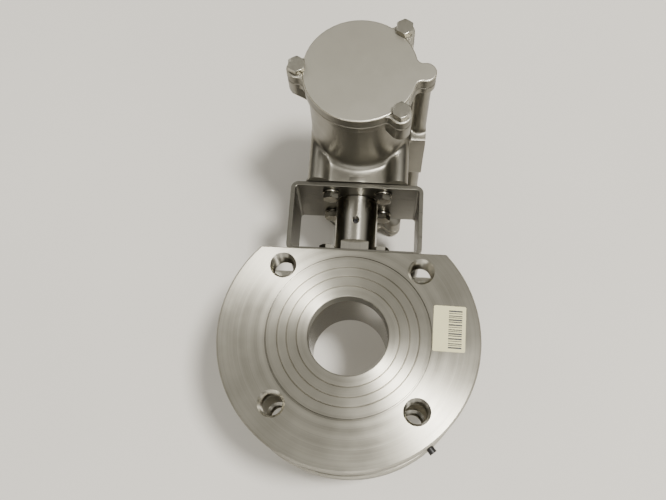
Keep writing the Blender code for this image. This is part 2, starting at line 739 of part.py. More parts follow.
def cut_housing(housing):
    beyond = 2.0 * MM
    cut(housing, cylinder("cylinder_bore_cut", CYLINDER_R, -HALF_BARREL - beyond, HALF_BARREL + beyond, LARGE,
                          parent=ACTUATOR))
    cut(housing, turned("shaft_bore_cut", [
        (0, BOSS_TOP + beyond),
        (UPPER_POCKET_R, BOSS_TOP + beyond),
        (UPPER_POCKET_R, UPPER_BUSH_LOW - GAP),
        (UPPER_JOURNAL_R + RUNNING_GAP, UPPER_BUSH_LOW - GAP),
        (UPPER_JOURNAL_R + RUNNING_GAP, BARREL_Y),
        (STEM_R + RUNNING_GAP, BARREL_Y),
        (STEM_R + RUNNING_GAP, BUSH_POCKET_TOP),
        (BUSH_POCKET_R, BUSH_POCKET_TOP),
        (BUSH_POCKET_R, BASE_TOP - beyond),
        (0, BASE_TOP - beyond),
    ], SMALL, parent=DRIVE, rotation=ALONG_Y, closed=False))
    cap_taps = copies(cylinder_mesh("cap_tap", TAPPED_HOLE_R, HALF_BARREL - 11.0 * MM, HALF_BARREL + beyond,
                                    TINY), lobe_places(), "cap_tap_cut")
    cut(housing, *both_ends("cap_tap_cut", cap_taps))
    base_tap = cylinder_mesh("base_tap", TAPPED_HOLE_R, BASE_TOP - beyond, BASE_TOP + 12.0 * MM, TINY)
    cut(housing, add_object("base_tap_cut", copies(base_tap, square_corners(PATTERN_HALF), "base_tap_cut"),
                            DRIVE, ALONG_Y))
    port_r = 4.6 * MM
    port_spacing = 24.0 * MM
    for name, z, floor_x in (("supply_port_cut", port_spacing / 2, CYLINDER_R - 4 * MM),
                             ("channel_port_cut", -port_spacing / 2, PAD_FACE_X - 8 * MM)):
        port = cylinder(name, port_r, floor_x, PAD_FACE_X + beyond, SMALL, parent=ACTUATOR,
                        rotation=(0, math.pi / 2, 0))
        port.location = (0, 0, z)
        cut(housing, port)


def end_cap(name, side):
    plate = HALF_BARREL + GAP
    face = HALF_BARREL + CAP_T
    spigot_r = CYLINDER_R - 0.5 * MM
    spigot = HALF_BARREL - 3.0 * MM
    edge = 0.6 * MM
    cap = turned(name, [
        (0, face),
        (CAP_R - edge, face),
        (CAP_R, face - edge),
        (CAP_R, plate),
        (spigot_r, plate),
        (spigot_r, HALF_BARREL),
        (CAP_GROOVE_R, HALF_BARREL),
        (CAP_GROOVE_R, spigot + 0.6 * MM),
        (spigot_r, spigot + 0.6 * MM),
        (spigot_r, spigot),
        (0, spigot),
    ], LARGE, parent=side, material="cast_steel", closed=False)
    # The lobes stop just under the cap's face, inside the disc, so no two faces lie in one plane.
    lobe_face = face - 0.2 * MM
    lobe = cylinder_mesh("cap_lobe", LOBE_R, plate + 0.05 * MM, lobe_face, SMALL)
    places = lobe_places() + [(PORT_LOBE_CENTRE, 0)]
    join(cap, add_object(name + "_lobes", copies(lobe, places, name + "_lobes"), side))
    holes = cylinder_mesh("cap_hole", BOLT_HOLE_R, plate - MM, face + MM, TINY)
    cut(cap, add_object(name + "_holes", copies(holes, lobe_places(), name + "_holes"), side))


def end_caps():
    shank_low = HALF_BARREL - 9.0 * MM
    head_low = HALF_BARREL + CAP_T + GAP
    mesh = bolt_mesh("cap_bolt", shank_low, head_low + MM, head_low, head_low + BOLT_HEAD_H)
    for prefix, side in (("front", ACTUATOR), ("rear", REAR_CAP_SIDE)):
        end_cap(prefix + "_end_cap", side)
        repeat(prefix + "_cap_bolt", mesh, lobe_places(), side, ALONG_Z, "bright_steel")
        ring(prefix + "_cap_seal", CAP_GROOVE_R + GAP, CYLINDER_R - 0.35 * MM, HALF_BARREL - 2.1 * MM,
             HALF_BARREL - GAP, MEDIUM, parent=side, material="seal_rubber")


# ---------------------------------------------------------------- pinion shaft and its bearings

def involute_angle(radius, base_r):
    return math.tan(math.acos(base_r / radius)) - math.acos(base_r / radius)


def pinion_outline():
    base_r = PITCH_R * math.cos(PRESSURE_ANGLE)
    half_tooth = (TOOTH_PITCH / 2 - BACKLASH / 2) / 2 / PITCH_R
    half_at_base = half_tooth + involute_angle(PITCH_R, base_r)
    flank_radii = [base_r, PITCH_R, PITCH_R + ADDENDUM]
    flank = [(radius, half_at_base - involute_angle(radius, base_r)) for radius in flank_radii]
    flank.insert(0, (PITCH_R - DEDENDUM, half_at_base))
    points = []
    for tooth in range(PINION_TEETH):
        centre = 2 * math.pi * tooth / PINION_TEETH
        sides = [(r, centre - a) for r, a in flank] + [(r, centre + a) for r, a in reversed(flank)]
        points += [(r * math.cos(a), r * math.sin(a)) for r, a in sides]
    return points


def pinion_shaft():
    groove_high = CLIP_GROOVE_LOW + CLIP_GROOVE_H
    edge = 0.6 * MM
    groove_r = UPPER_JOURNAL_R - edge
    pinion_low = BARREL_Y - PINION_HALF
    shaft_low = STEM_TOP + 0.5 * MM
    shaft = turned("pinion_shaft", [
        (0, SHAFT_TOP),
        (UPPER_JOURNAL_R - edge, SHAFT_TOP),
        (UPPER_JOURNAL_R, SHAFT_TOP - edge),
        (UPPER_JOURNAL_R, groove_high),
        (groove_r, groove_high),
        (groove_r, CLIP_GROOVE_LOW),
        (UPPER_JOURNAL_R, CLIP_GROOVE_LOW),
        (UPPER_JOURNAL_R, pinion_low + MM),
        (STEM_R, pinion_low - 2 * MM),
        (STEM_R, shaft_low),
        (0, shaft_low),
    ], SMALL, parent=DRIVE, rotation=ALONG_Y, material="bright_steel", closed=False)
    teeth = outline_mesh("pinion_teeth", [pinion_outline()], PINION_HALF)
    teeth.transform(Matrix.Translation((0, 0, BARREL_Y)))
    join(shaft, add_object("pinion_teeth", teeth, DRIVE, ALONG_Y))
    cut(shaft, square_flats("shaft_flats", STEM_TOP - MM, COUPLING_TOP + MM))
    slot_half = 2.0 * MM
    slot_depth = 3.0 * MM
    cut(shaft, box("shaft_slot_cut", (-BOSS_R, SHAFT_TOP - slot_depth, -slot_half),
                   (BOSS_R, SHAFT_TOP + MM, slot_half), parent=DRIVE))


def shaft_bearings():
    along = {"parent": DRIVE, "rotation": ALONG_Y}
    ring("lower_shaft_bush", STEM_R + GAP, BUSH_POCKET_R - GAP, BASE_TOP + 0.5 * MM, LOWER_BUSH_TOP, SMALL,
         material="bearing_plastic", **along)
    ring("lower_shaft_seal", STEM_R + GAP, BUSH_POCKET_R - GAP, LOWER_BUSH_TOP + GAP, BUSH_POCKET_TOP - GAP,
         SMALL, material="seal_rubber", **along)
    inner = UPPER_JOURNAL_R + GAP
    outer = UPPER_POCKET_R - GAP
    ring("upper_shaft_bush", inner, outer, UPPER_BUSH_LOW, UPPER_SEAL_LOW - GAP, SMALL,
         material="bearing_plastic", **along)
    ring("upper_shaft_seal", inner, outer, UPPER_SEAL_LOW, BOSS_TOP - GAP, SMALL, material="seal_rubber",
         **along)
    washer_t = 1.0 * MM
    ring("shaft_thrust_washer", inner, THRUST_WASHER_R, BOSS_TOP + GAP, BOSS_TOP + GAP + washer_t, SMALL,
         material="bearing_plastic", **along)
    clip_low = CLIP_GROOVE_LOW + 0.2 * MM
    clip_t = 1.1 * MM
    clip = ring("shaft_circlip", UPPER_JOURNAL_R - GAP, CLIP_R, clip_low, clip_low + clip_t, SMALL,
                material="spring_steel", **along)
    opening = 2.5 * MM
    cut(clip, box("circlip_gap_cut", (0, clip_low - MM, -opening), (BOSS_R, clip_low + 2 * MM, opening),
                  parent=DRIVE))


def position_indicator():
    disc_high = INDICATOR_LOW + 3.5 * MM
    bar_high = SHAFT_TOP - 1.0 * MM
    edge = 0.8 * MM
    cap = turned("position_indicator", [
        (UPPER_JOURNAL_R + GAP, disc_high),
        (INDICATOR_R - edge, disc_high),
        (INDICATOR_R, disc_high - edge),
        (INDICATOR_R, INDICATOR_LOW),
        (UPPER_JOURNAL_R + GAP, INDICATOR_LOW),
    ], MEDIUM, parent=DRIVE, rotation=ALONG_Y, material="indicator_plastic")
    bar_half = 2.5 * MM
    bar_inner = UPPER_JOURNAL_R + 0.8 * MM
    for name, sign in (("pointer_left", -1), ("pointer_right", 1)):
        ends = sorted((sign * bar_inner, sign * (INDICATOR_R - MM)))
        low = (ends[0], disc_high - MM, -bar_half)
        join(cap, box(name, low, (ends[1], bar_high, bar_half), parent=DRIVE))


# ---------------------------------------------------------------- pistons

def rack_outline():
    """Rack seen along Y: its toothed edge faces the pinion, at x = -PITCH_R, and its back is flat."""
    slope = math.tan(PRESSURE_ANGLE)
    half_at_pitch = (TOOTH_PITCH / 2 - BACKLASH / 2) / 2
    tip_half = half_at_pitch - ADDENDUM * slope
    root_half = half_at_pitch + DEDENDUM * slope
    tip_x = ADDENDUM - PITCH_R
    root_x = -DEDENDUM - PITCH_R
    end_z = PISTON_OUT - PISTON_T + 1.0 * MM
    points = [(-RACK_BACK_X, end_z), (-RACK_BACK_X, RACK_TIP_Z), (root_x, RACK_TIP_Z)]
    first = math.ceil(RACK_TIP_Z / TOOTH_PITCH)
    for index in range(first, first + RACK_TEETH):
        centre = (index + 0.5) * TOOTH_PITCH
        points += [(root_x, centre - root_half), (tip_x, centre - tip_half), (tip_x, centre + tip_half),
                   (root_x, centre + root_half)]
    points.append((root_x, end_z))
    return points


def piston(prefix, side):
    groove_r = PISTON_R - 2.6 * MM
    band_r = PISTON_R - 1.3 * MM
    edge = 0.6 * MM
    inner_face = PISTON_OUT - PISTON_T
    levels = [PISTON_OUT - step * MM for step in (2.0, 5.6, 6.8, 10.6)]
    head = turned(prefix + "_piston", [
        (0, PISTON_OUT),
        (PISTON_R - edge, PISTON_OUT),
        (PISTON_R, PISTON_OUT - edge),
        (PISTON_R, levels[0]),
        (groove_r, levels[0]),
        (groove_r, levels[1]),
        (PISTON_R, levels[1]),
        (PISTON_R, levels[2]),
        (band_r, levels[2]),
        (band_r, levels[3]),
        (PISTON_R, levels[3]),
        (PISTON_R, inner_face),
        (0, inner_face),
    ], MEDIUM, parent=side, material="piston_metal", closed=False)
    rack = outline_mesh(prefix + "_rack", [rack_outline()], RACK_HALF_Y)
    join(head, add_object(prefix + "_rack", rack, side, (math.pi / 2, 0, 0)))
    skin_r = CYLINDER_R - 0.35 * MM
    ring(prefix + "_piston_seal", groove_r + GAP, skin_r, levels[1] + GAP, levels[0] - GAP, MEDIUM,
         parent=side, material="seal_rubber")
    ring(prefix + "_piston_band", band_r + GAP, skin_r, levels[3] + GAP, levels[2] - GAP, MEDIUM,
         parent=side, material="bearing_plastic")
    pad_half_y = 6.0 * MM
    pad_low = 5.0 * MM
    pad_high = 30.0 * MM
    box(prefix + "_guide_pad", (-GUIDE_PAD_R, -pad_half_y, pad_low),
        (-RACK_BACK_X - GAP, pad_half_y, pad_high), parent=side, material="bearing_plastic")


# ---------------------------------------------------------------- assembly

def smooth_parts():
    """Replace each part's mesh by its evaluated shape, shaded smooth up to 30 degrees."""
    parts = [obj for obj in PARTS.objects if obj.type == "MESH"]
    meshes = {}
    for obj in parts:
        if obj.data.name not in meshes:
            mesh = evaluated_mesh(obj)
            mesh.shade_smooth()
            mesh.set_sharp_from_angle(angle=math.radians(30))
            meshes[obj.data.name] = mesh
    for obj in parts:
        obj.data = meshes[obj.data.name]
        obj.modifiers.clear()


def main():
    valve_body()
    rim_screw()
    seats_and_insert()
    ball()
    stem()
    packing_stack()
    bracket()
    bracket_fasteners()
    coupling()
    actuator_housing()
    end_caps()
    pinion_shaft()
    shaft_bearings()
    position_indicator()
    piston("front", FRONT_SIDE)
    piston("rear", REAR_SIDE)
    smooth_parts()


main()
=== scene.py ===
"""Looks of the DN50 flanged ball valve with its bracket, coupling and pneumatic actuator.

Lengths are metres. Three local frames are used, all parallel to the model's own axes:
  FACE   on the bore axis at the front gasket face, where the flanges and everything turned about the bore go
  DRIVE  on the bore axis at the stem, where the stem, coupling and bracket go (turned about +Y)
  BARREL on the actuator barrel's axis at the stem, where the housing, caps and cap bolts go
"""

import json
import math

import bmesh
import bpy
from mathutils import Euler, Matrix, Vector


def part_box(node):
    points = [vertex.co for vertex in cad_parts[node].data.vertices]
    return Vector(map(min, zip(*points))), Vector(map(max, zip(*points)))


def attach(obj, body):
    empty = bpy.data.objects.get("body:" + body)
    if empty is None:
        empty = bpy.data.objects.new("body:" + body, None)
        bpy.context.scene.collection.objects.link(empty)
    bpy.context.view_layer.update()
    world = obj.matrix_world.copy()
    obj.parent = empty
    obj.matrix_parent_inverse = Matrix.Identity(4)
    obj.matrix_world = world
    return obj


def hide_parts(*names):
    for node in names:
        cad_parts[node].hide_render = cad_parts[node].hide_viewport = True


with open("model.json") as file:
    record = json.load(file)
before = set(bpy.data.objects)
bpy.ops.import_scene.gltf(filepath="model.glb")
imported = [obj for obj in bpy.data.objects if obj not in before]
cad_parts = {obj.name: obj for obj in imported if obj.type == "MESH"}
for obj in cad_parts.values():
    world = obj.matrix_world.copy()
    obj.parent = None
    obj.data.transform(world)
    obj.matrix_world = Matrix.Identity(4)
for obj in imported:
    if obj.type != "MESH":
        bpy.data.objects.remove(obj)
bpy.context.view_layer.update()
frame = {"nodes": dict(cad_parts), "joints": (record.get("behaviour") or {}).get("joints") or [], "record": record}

MM = 0.001
QUARTER = math.pi / 2
GAP = 0.3 * MM                     # between parts that fit together

# ---------------------------------------------------------------- places and sizes

MOUNTS = {mount["name"]: Vector(mount["pos_m"]) for mount in frame["record"]["mounts"]}
JOINTS = {joint["name"]: joint for joint in frame["joints"]}
BORE_Y = MOUNTS["front_gasket_face"].y
FACE_Z = MOUNTS["front_gasket_face"].z
AXIS_Z = JOINTS["drive_turn"]["pos_m"][2]
BARREL_Y = MOUNTS["air_port_face"].y
FACE = Vector((0, BORE_Y, FACE_Z))
DRIVE = Vector((0, BORE_Y, AXIS_Z))
BARREL = Vector((0, BARREL_Y, AXIS_Z))

# Flange, in FACE
STEM_Z = AXIS_Z - FACE_Z
DEPTH = FACE_Z - MOUNTS["rear_gasket_face"].z
FLANGE_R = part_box("valve_body")[1].x
FACE_R = 51.0 * MM
FACE_H = 2.0 * MM
RELIEF = 1.1 * MM
PLATE_T = 17.0 * MM
WAIST_R = 50.0 * MM
BORE_R = 25.0 * MM
GROOVE_RADII = (32.0 * MM, 38.3 * MM, 44.2 * MM)
HOLE_CIRCLE_R = 62.5 * MM
FLAT_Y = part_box("valve_body")[1].y - BORE_Y
SEAT_R = 32.3 * MM
CHAMBER_R = 36.0 * MM
INSERT_R = 37.7 * MM
MOUTH_R = 30.0 * MM
RIM_SCREW_ANGLE = math.radians(-50.5)

# Bracket, coupling and stem, in DRIVE
BRACKET_LOW, BRACKET_HIGH = (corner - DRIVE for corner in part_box("mounting_bracket"))
COUPLING_LOW, COUPLING_HIGH = (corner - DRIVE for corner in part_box("coupling"))
SET_SCREW_Y = sum(corner.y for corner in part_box("coupling_set_screw")) / 2 - BORE_Y
SHEET_T = 3.0 * MM
PATTERN_HALF = 17.7 * MM
LOWER_HOLE_R = 17.5 * MM
UPPER_HOLE_R = 15.5 * MM
SQUARE_HALF = 8.5 * MM
STEM_R = 11.0 * MM

# Actuator, in BARREL
BARREL_R = 33.4 * MM
CAP_R = 35.7 * MM
CAP_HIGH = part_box("front_end_cap")[1].z - AXIS_Z
CAP_T = 9.0 * MM
CAP_BACK = CAP_HIGH - CAP_T + GAP
HOUSING_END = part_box("actuator_housing")[1].z - AXIS_Z
BASE_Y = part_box("actuator_housing")[0].y - BARREL_Y
BOSS_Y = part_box("actuator_housing")[1].y - BARREL_Y
SHAFT_LOW, SHAFT_Y = (corner.y - BARREL_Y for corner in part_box("pinion_shaft"))
PAD_X = MOUNTS["air_port_face"].x
LOBE_R = 6.6 * MM
LOBE_CENTRE = 38.9 * MM
PORT_CENTRE = 40.1 * MM
LOBE_LENGTH = 13.0 * MM
LOBE_STEP = 1.0 * MM
CAP_ROUND = 0.9 * MM
BOLT_ANGLES = (48.0, 180.0, -48.0)
LOBE_SLOPES = (12.0 * MM, 12.0 * MM, 1.0 * MM)
COLUMN_HALF = 26.6 * MM
COLUMN_R = 6.9 * MM
WEB_HALF = 29.0 * MM
LIP_H = 2.2 * MM
LIP_ROOT = 2.0 * MM
LIP_SPREAD = math.radians(44.0)
BOSS_R = 17.6 * MM
JOURNAL_R = 8.5 * MM
PAST = 3.0 * MM                    # how far the rough casting runs past a face that is then machined

# M6 bolts
HEAD_WIDTH = 10.0 * MM
HEAD_H = 4.0 * MM

# Pieces to a full turn
ROUND = 128
SMALL_ROUND = 48

# Bodies of the frame
STATIC = "valve_frame"
TURNING = "drive_train"


# ---------------------------------------------------------------- mesh helpers

def link(name, data, place=(0, 0, 0), rotation=(0, 0, 0)):
    obj = bpy.data.objects.new(name, data)
    bpy.context.scene.collection.objects.link(obj)
    obj.location = place
    obj.rotation_euler = rotation
    return obj


def to_mesh(bm, name):
    bmesh.ops.remove_doubles(bm, verts=bm.verts, dist=1e-7)
    bmesh.ops.recalc_face_normals(bm, faces=bm.faces)
    mesh = bpy.data.meshes.new(name)
    bm.to_mesh(mesh)
    bm.free()
    return mesh


def soften(profile, size, closed=False):
    """Round every corner of an outline with a short two-step arc, so that its edges catch the light."""
    points = [Vector(point) for point in profile]
    count = len(points)
    out = []
    for index, point in enumerate(points):
        if not closed and index in (0, count - 1):
            out.append(tuple(point))
            continue
        before = points[index - 1] - point
        after = points[(index + 1) % count] - point
        reach = min(size, before.length * 0.4, after.length * 0.4)
        start = point + before.normalized() * reach
        end = point + after.normalized() * reach
        middle = (start + end + 2 * point) / 4
        out += [tuple(start), tuple(middle), tuple(end)]
    return out


def turned(name, profile, steps=ROUND, closed=True, edge=0.3 * MM):
    """Turn a (radius, height) outline about Z."""
    outline = soften(profile, edge, closed) if edge else profile
    bm = bmesh.new()
    verts = [bm.verts.new((radius, 0, height)) for radius, height in outline]
    pairs = list(zip(verts, verts[1:]))
    if closed:
        pairs.append((verts[-1], verts[0]))
    edges = [bm.edges.new(pair) for pair in pairs]
    bmesh.ops.spin(bm, geom=verts + edges, cent=(0, 0, 0), axis=(0, 0, 1), angle=2 * math.pi, steps=steps,
                   use_merge=True)
    return to_mesh(bm, name)


def prism(name, outline, low, high):
    """Extrude a closed outline along Z."""
    bm = bmesh.new()
    face = bm.faces.new([bm.verts.new((x, y, low)) for x, y in outline])
    grown = bmesh.ops.extrude_face_region(bm, geom=[face])
    top = [item for item in grown["geom"] if isinstance(item, bmesh.types.BMVert)]
    bmesh.ops.translate(bm, verts=top, vec=(0, 0, high - low))
    return to_mesh(bm, name)


def polar(radius, angle):
    return radius * math.cos(angle), radius * math.sin(angle)


def cylinder(name, radius, low, high, steps=SMALL_ROUND, centre=(0, 0)):
    rim = [polar(radius, 2 * math.pi * i / steps) for i in range(steps)]
    return prism(name, [(centre[0] + x, centre[1] + y) for x, y in rim], low, high)


def block(name, low, high):
    outline = [(low[0], low[1]), (high[0], low[1]), (high[0], high[1]), (low[0], high[1])]
    return prism(name, outline, low[2], high[2])


def corners(half):
    return [(x, y) for x in (-half, half) for y in (-half, half)]


def arc(centre, radius, start, end, steps):
    rim = [polar(radius, start + (end - start) * i / steps) for i in range(steps + 1)]
    return [(centre[0] + x, centre[1] + y) for x, y in rim]


def band(inner, outer, low, high):
    """Outline of a plain ring, for `turned`."""
    return [(inner, high), (outer, high), (outer, low), (inner, low)]


def merged(name, meshes):
    """One mesh that holds several, each moved by its own matrix."""
    bm = bmesh.new()
    for mesh, matrix in meshes:
        start = len(bm.verts)
        bm.from_mesh(mesh)
        bm.verts.ensure_lookup_table()
        bmesh.ops.transform(bm, matrix=matrix, verts=bm.verts[start:])
    mesh = bpy.data.meshes.new(name)
    bm.to_mesh(mesh)
    bm.free()
    return mesh


def moved(x=0.0, y=0.0, rotation=(0, 0, 0)):
    return Matrix.Translation((x, y, 0)) @ Euler(rotation).to_matrix().to_4x4()


ALONG_Y = (-QUARTER, 0, 0)         # turns a shape made about Z so that its Z points along +Y
ALONG_X = (0, QUARTER, 0)


def settle(obj):
    """Apply the object's modifiers to its mesh."""
    graph = bpy.context.evaluated_depsgraph_get()
    mesh = bpy.data.meshes.new_from_object(obj.evaluated_get(graph))
    obj.modifiers.clear()
    obj.data = mesh
    return obj


def combine(obj, operation, meshes, place=None, rotation=None):
    """Cut or join helper meshes, which share the object's place unless they have their own."""
    helpers = []
    for mesh in meshes:
        helper = link("helper", mesh, obj.location if place is None else place,
                      obj.rotation_euler if rotation is None else rotation)
        modifier = obj.modifiers.new("combine", "BOOLEAN")
        modifier.operation = operation
        modifier.solver = "EXACT"
        modifier.object = helper
        helpers.append(helper)
    settle(obj)
    for helper in helpers:
        bpy.data.objects.remove(helper)


def bevelled(obj, width, segments=2, angle=35):
    bevel = obj.modifiers.new("bevel", "BEVEL")
    bevel.width = width
    bevel.segments = segments
    bevel.limit_method = "ANGLE"
    bevel.angle_limit = math.radians(angle)
    return settle(obj)


def take_mesh(obj):
    """Remove an object and keep its mesh."""
    mesh = obj.data
    bpy.data.objects.remove(obj)
    return mesh


def rounded(mesh, width):
    """The mesh with its edges rounded, before a join adds short edges that would hold the rounding back."""
    return take_mesh(bevelled(link("helper", mesh), width, 3, 40))


def shade(obj, angle):
    """Smooth shading that stays level on the large flat faces and turns only over the rounded edges."""
    obj.data.shade_smooth()
    obj.data.set_sharp_from_angle(angle=math.radians(angle))
    normals = obj.modifiers.new("normals", "WEIGHTED_NORMAL")
    normals.keep_sharp = True
    normals.weight = 100


def dress(obj, material, slot, body, *nodes, angle=32):
    """Shade a finished piece, give it its material and body, and hide the nodes that it stands for."""
    shade(obj, angle)
    obj.data.materials.clear()
    obj.data.materials.append(material)
    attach(obj, body)
    if nodes:
        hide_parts(*nodes)


# ---------------------------------------------------------------- materials

class Nodes:
    """Short calls for building a material's node tree."""

    def __init__(self, name):
        self.material = bpy.data.materials.new(name)
        self.material.use_nodes = True
        self.tree = self.material.node_tree
        self.shader = self.tree.nodes["Principled BSDF"]

    def add(self, kind, inputs=None, **settings):
        node = self.tree.nodes.new(kind)
        for key, value in settings.items():
            setattr(node, key, value)
        for key, value in (inputs or {}).items():
            self.put(node.inputs[key], value)
        return node

    def put(self, socket, value):
        if isinstance(value, bpy.types.NodeSocket):
            self.tree.links.new(value, socket)
        else:
            socket.default_value = value

    def math(self, operation, a, b=0.0):
        return self.add("ShaderNodeMath", {0: a, 1: b}, operation=operation).outputs[0]

    def place(self, scale=(1, 1, 1)):
        coordinates = self.add("ShaderNodeTexCoord").outputs["Object"]
        return self.add("ShaderNodeMapping", {"Vector": coordinates, "Scale": scale}).outputs[0]

    def noise(self, scale, vector, detail):
        inputs = {"Vector": vector, "Scale": scale, "Detail": detail}
        return self.add("ShaderNodeTexNoise", inputs).outputs["Fac"]

    def rings(self, pitch, radius, detail):
        """Random bands that depend only on the distance from an axis."""
        inputs = {"W": radius, "Scale": 1 / pitch, "Detail": detail}
        return self.add("ShaderNodeTexNoise", inputs, noise_dimensions="1D").outputs["Fac"]

    def round_tangent(self, axis):
        """Direction along the circles about one of the object's axes, in world space."""
        along = {"X": (1, 0, 0), "Z": (0, 0, 1)}[axis]
        around = self.add("ShaderNodeVectorMath", {0: along, 1: self.place()}, operation="CROSS_PRODUCT")
        in_world = self.add("ShaderNodeVectorTransform", {0: around.outputs[0]}, vector_type="VECTOR",
                            convert_from="OBJECT", convert_to="WORLD").outputs[0]
        return self.add("ShaderNodeVectorMath", {0: in_world}, operation="NORMALIZE").outputs[0]

    def span(self, value, low, high, start=0.3, end=0.7):
        """Stretch a value from one range to another; noise seldom leaves its own middle part."""
        return self.add("ShaderNodeMapRange", {0: value, 1: start, 2: end, 3: low, 4: high}).outputs[0]

    def facing(self, low, high, start, end):
        """`low` on upright walls and `high` on level faces; the change lies between two slopes."""
        normal = self.add("ShaderNodeNewGeometry").outputs["Normal"]
        upward = self.add("ShaderNodeSeparateXYZ", {0: normal}).outputs["Z"]
        return self.span(self.math("ABSOLUTE", upward), low, high, start, end)

    def scaled(self, colour, factor):
        return self.add("ShaderNodeVectorMath", {0: colour, "Scale": factor}, operation="SCALE").outputs[0]

    def blend(self, factor, dark, light):
        mix = self.add("ShaderNodeMix", data_type="RGBA")
        self.put(mix.inputs["Factor"], factor)
        self.put(mix.inputs["A"], (*dark, 1))
        self.put(mix.inputs["B"], (*light, 1))
        return mix.outputs["Result"]

    def bump(self, height, distance):
        inputs = {"Height": height, "Distance": distance, "Strength": 1.0}
        return self.add("ShaderNodeBump", inputs).outputs[0]

    def finish(self, colour, roughness, normal=None, metallic=1.0):
        self.put(self.shader.inputs["Base Color"], colour)
        self.put(self.shader.inputs["Roughness"], roughness)
        self.put(self.shader.inputs["Metallic"], metallic)
        if normal is not None:
            self.put(self.shader.inputs["Normal"], normal)
        return self.material


def shades(colour, spread):
    """A darker and a lighter form of a colour."""
    return tuple(c * (1 - spread) for c in colour), tuple(min(1.0, c * (1 + spread)) for c in colour)


LINE_PITCH = 0.7 * MM
BAND_PITCH = 4.0 * MM
LINE_DEPTH = 0.030 * MM
PIT_DEPTH = 0.012 * MM
SKIN_GRAIN = 0.7 * MM
ACROSS = 0.25                      # a quarter turn of the highlight, so that it lies across the lines


def turned_steel(name, colour, low, high, axis, anisotropy=0.92, wall_shade=1.0):
    """Lathe-turned steel: fine lines round one axis, faint stains, and a highlight drawn out across them.

    `low` and `high` are the ends of its roughness. The wall factor is painted shade: it darkens the colour of the
    upright walls, such as the bore.
    """
    nodes = Nodes(name)
    flat = {"Z": (1, 1, 0), "X": (0, 1, 1)}[axis]
    radius = nodes.add("ShaderNodeVectorMath", {0: nodes.place(flat)}, operation="LENGTH").outputs["Value"]
    fine = nodes.rings(LINE_PITCH, radius, 4.0)
    broad = nodes.rings(BAND_PITCH, radius, 1.0)
    stain = nodes.noise(45.0, nodes.place(), 4.0)
    lines = nodes.math("ADD", nodes.math("MULTIPLY", broad, 0.25), nodes.math("MULTIPLY", fine, 0.25))
    tone = nodes.math("ADD", nodes.math("MULTIPLY", stain, 0.5), lines)
    rough = nodes.math("ADD", nodes.span(stain, low, high), nodes.span(broad, -0.02, 0.03))
    normal = nodes.bump(fine, LINE_DEPTH)
    nodes.shader.inputs["Anisotropic"].default_value = anisotropy
    nodes.shader.inputs["Anisotropic Rotation"].default_value = ACROSS
    nodes.put(nodes.shader.inputs["Tangent"], nodes.round_tangent(axis))
    colour = nodes.blend(nodes.span(tone, 0, 1), *shades(colour, 0.20))
    # painted shade: the colour is darkened on upright walls, such as the bore
    return nodes.finish(nodes.scaled(colour, nodes.facing(wall_shade, 1, 0.1, 0.35)), rough, normal)


def satin_steel(name, colour, low, high, grain=0.5 * MM, spread=0.06, wall_shade=1.0, rim=0.0):
    """Bead-blasted or cast steel: a fine even grain over slow changes of tone.

    The wall factor is painted shade: it darkens the colour of the upright walls. The rim factor is a painted
    highlight: it brightens the colour of the rounded edges, which it also makes smoother.
    """
    nodes = Nodes(name)
    stain = nodes.noise(32.0, nodes.place(), 5.0)
    patch = nodes.noise(140.0, nodes.place(), 2.0)
    pits = nodes.noise(1 / grain, nodes.place(), 2.0)
    colour = nodes.blend(nodes.span(stain, 0, 1), *shades(colour, spread))
    # painted highlight on the rounded edges, which are also made smoother, and painted shade on the upright walls
    edge_highlight_and_smoothing = nodes.math("MULTIPLY", nodes.facing(0, rim, 0.15, 0.4), nodes.facing(1, 0, 0.90, 0.98))
    colour = nodes.scaled(colour, nodes.math("ADD", nodes.facing(wall_shade, 1, 0.1, 0.35), edge_highlight_and_smoothing))
    rough = nodes.math("SUBTRACT", nodes.span(patch, low, high), nodes.math("MULTIPLY", edge_highlight_and_smoothing, 0.2))
    return nodes.finish(colour, rough, nodes.bump(pits, PIT_DEPTH))


def brushed_steel(name, colour, low, high, stretch, depth=0.010 * MM):
    """Sheet or bar with its grain drawn out along one direction."""
    nodes = Nodes(name)
    streak = nodes.noise(1.0, nodes.place(stretch), 3.0)
    stain = nodes.noise(38.0, nodes.place(), 4.0)
    tone = nodes.math("ADD", nodes.math("MULTIPLY", stain, 0.6), nodes.math("MULTIPLY", streak, 0.4))
    colour = nodes.blend(nodes.span(tone, 0, 1), *shades(colour, 0.09))
    return nodes.finish(colour, nodes.span(streak, low, high), nodes.bump(streak, depth))


def moulded(name, colour, low, high, depth=0.02 * MM, metallic=0.0, spread=0.08):
    """Moulded plastic, rubber or blackened steel with a fine uneven skin."""
    nodes = Nodes(name)
    skin = nodes.noise(1 / SKIN_GRAIN, nodes.place(), 3.0)
    stain = nodes.noise(60.0, nodes.place(), 3.0)
    colour = nodes.blend(nodes.span(stain, 0, 1), *shades(colour, spread))
    return nodes.finish(colour, nodes.span(skin, low, high), nodes.bump(skin, depth), metallic)


WARM_STEEL = (0.37, 0.350, 0.292)
CAST_STEEL = (0.34, 0.322, 0.268)
BRIGHT_STEEL = (0.42, 0.400, 0.345)
BODY_STEEL = (0.205, 0.194, 0.163)
SHEET_STEEL = (0.145, 0.138, 0.116)
GRAIN_ALONG_X = (60, 1600, 1600)


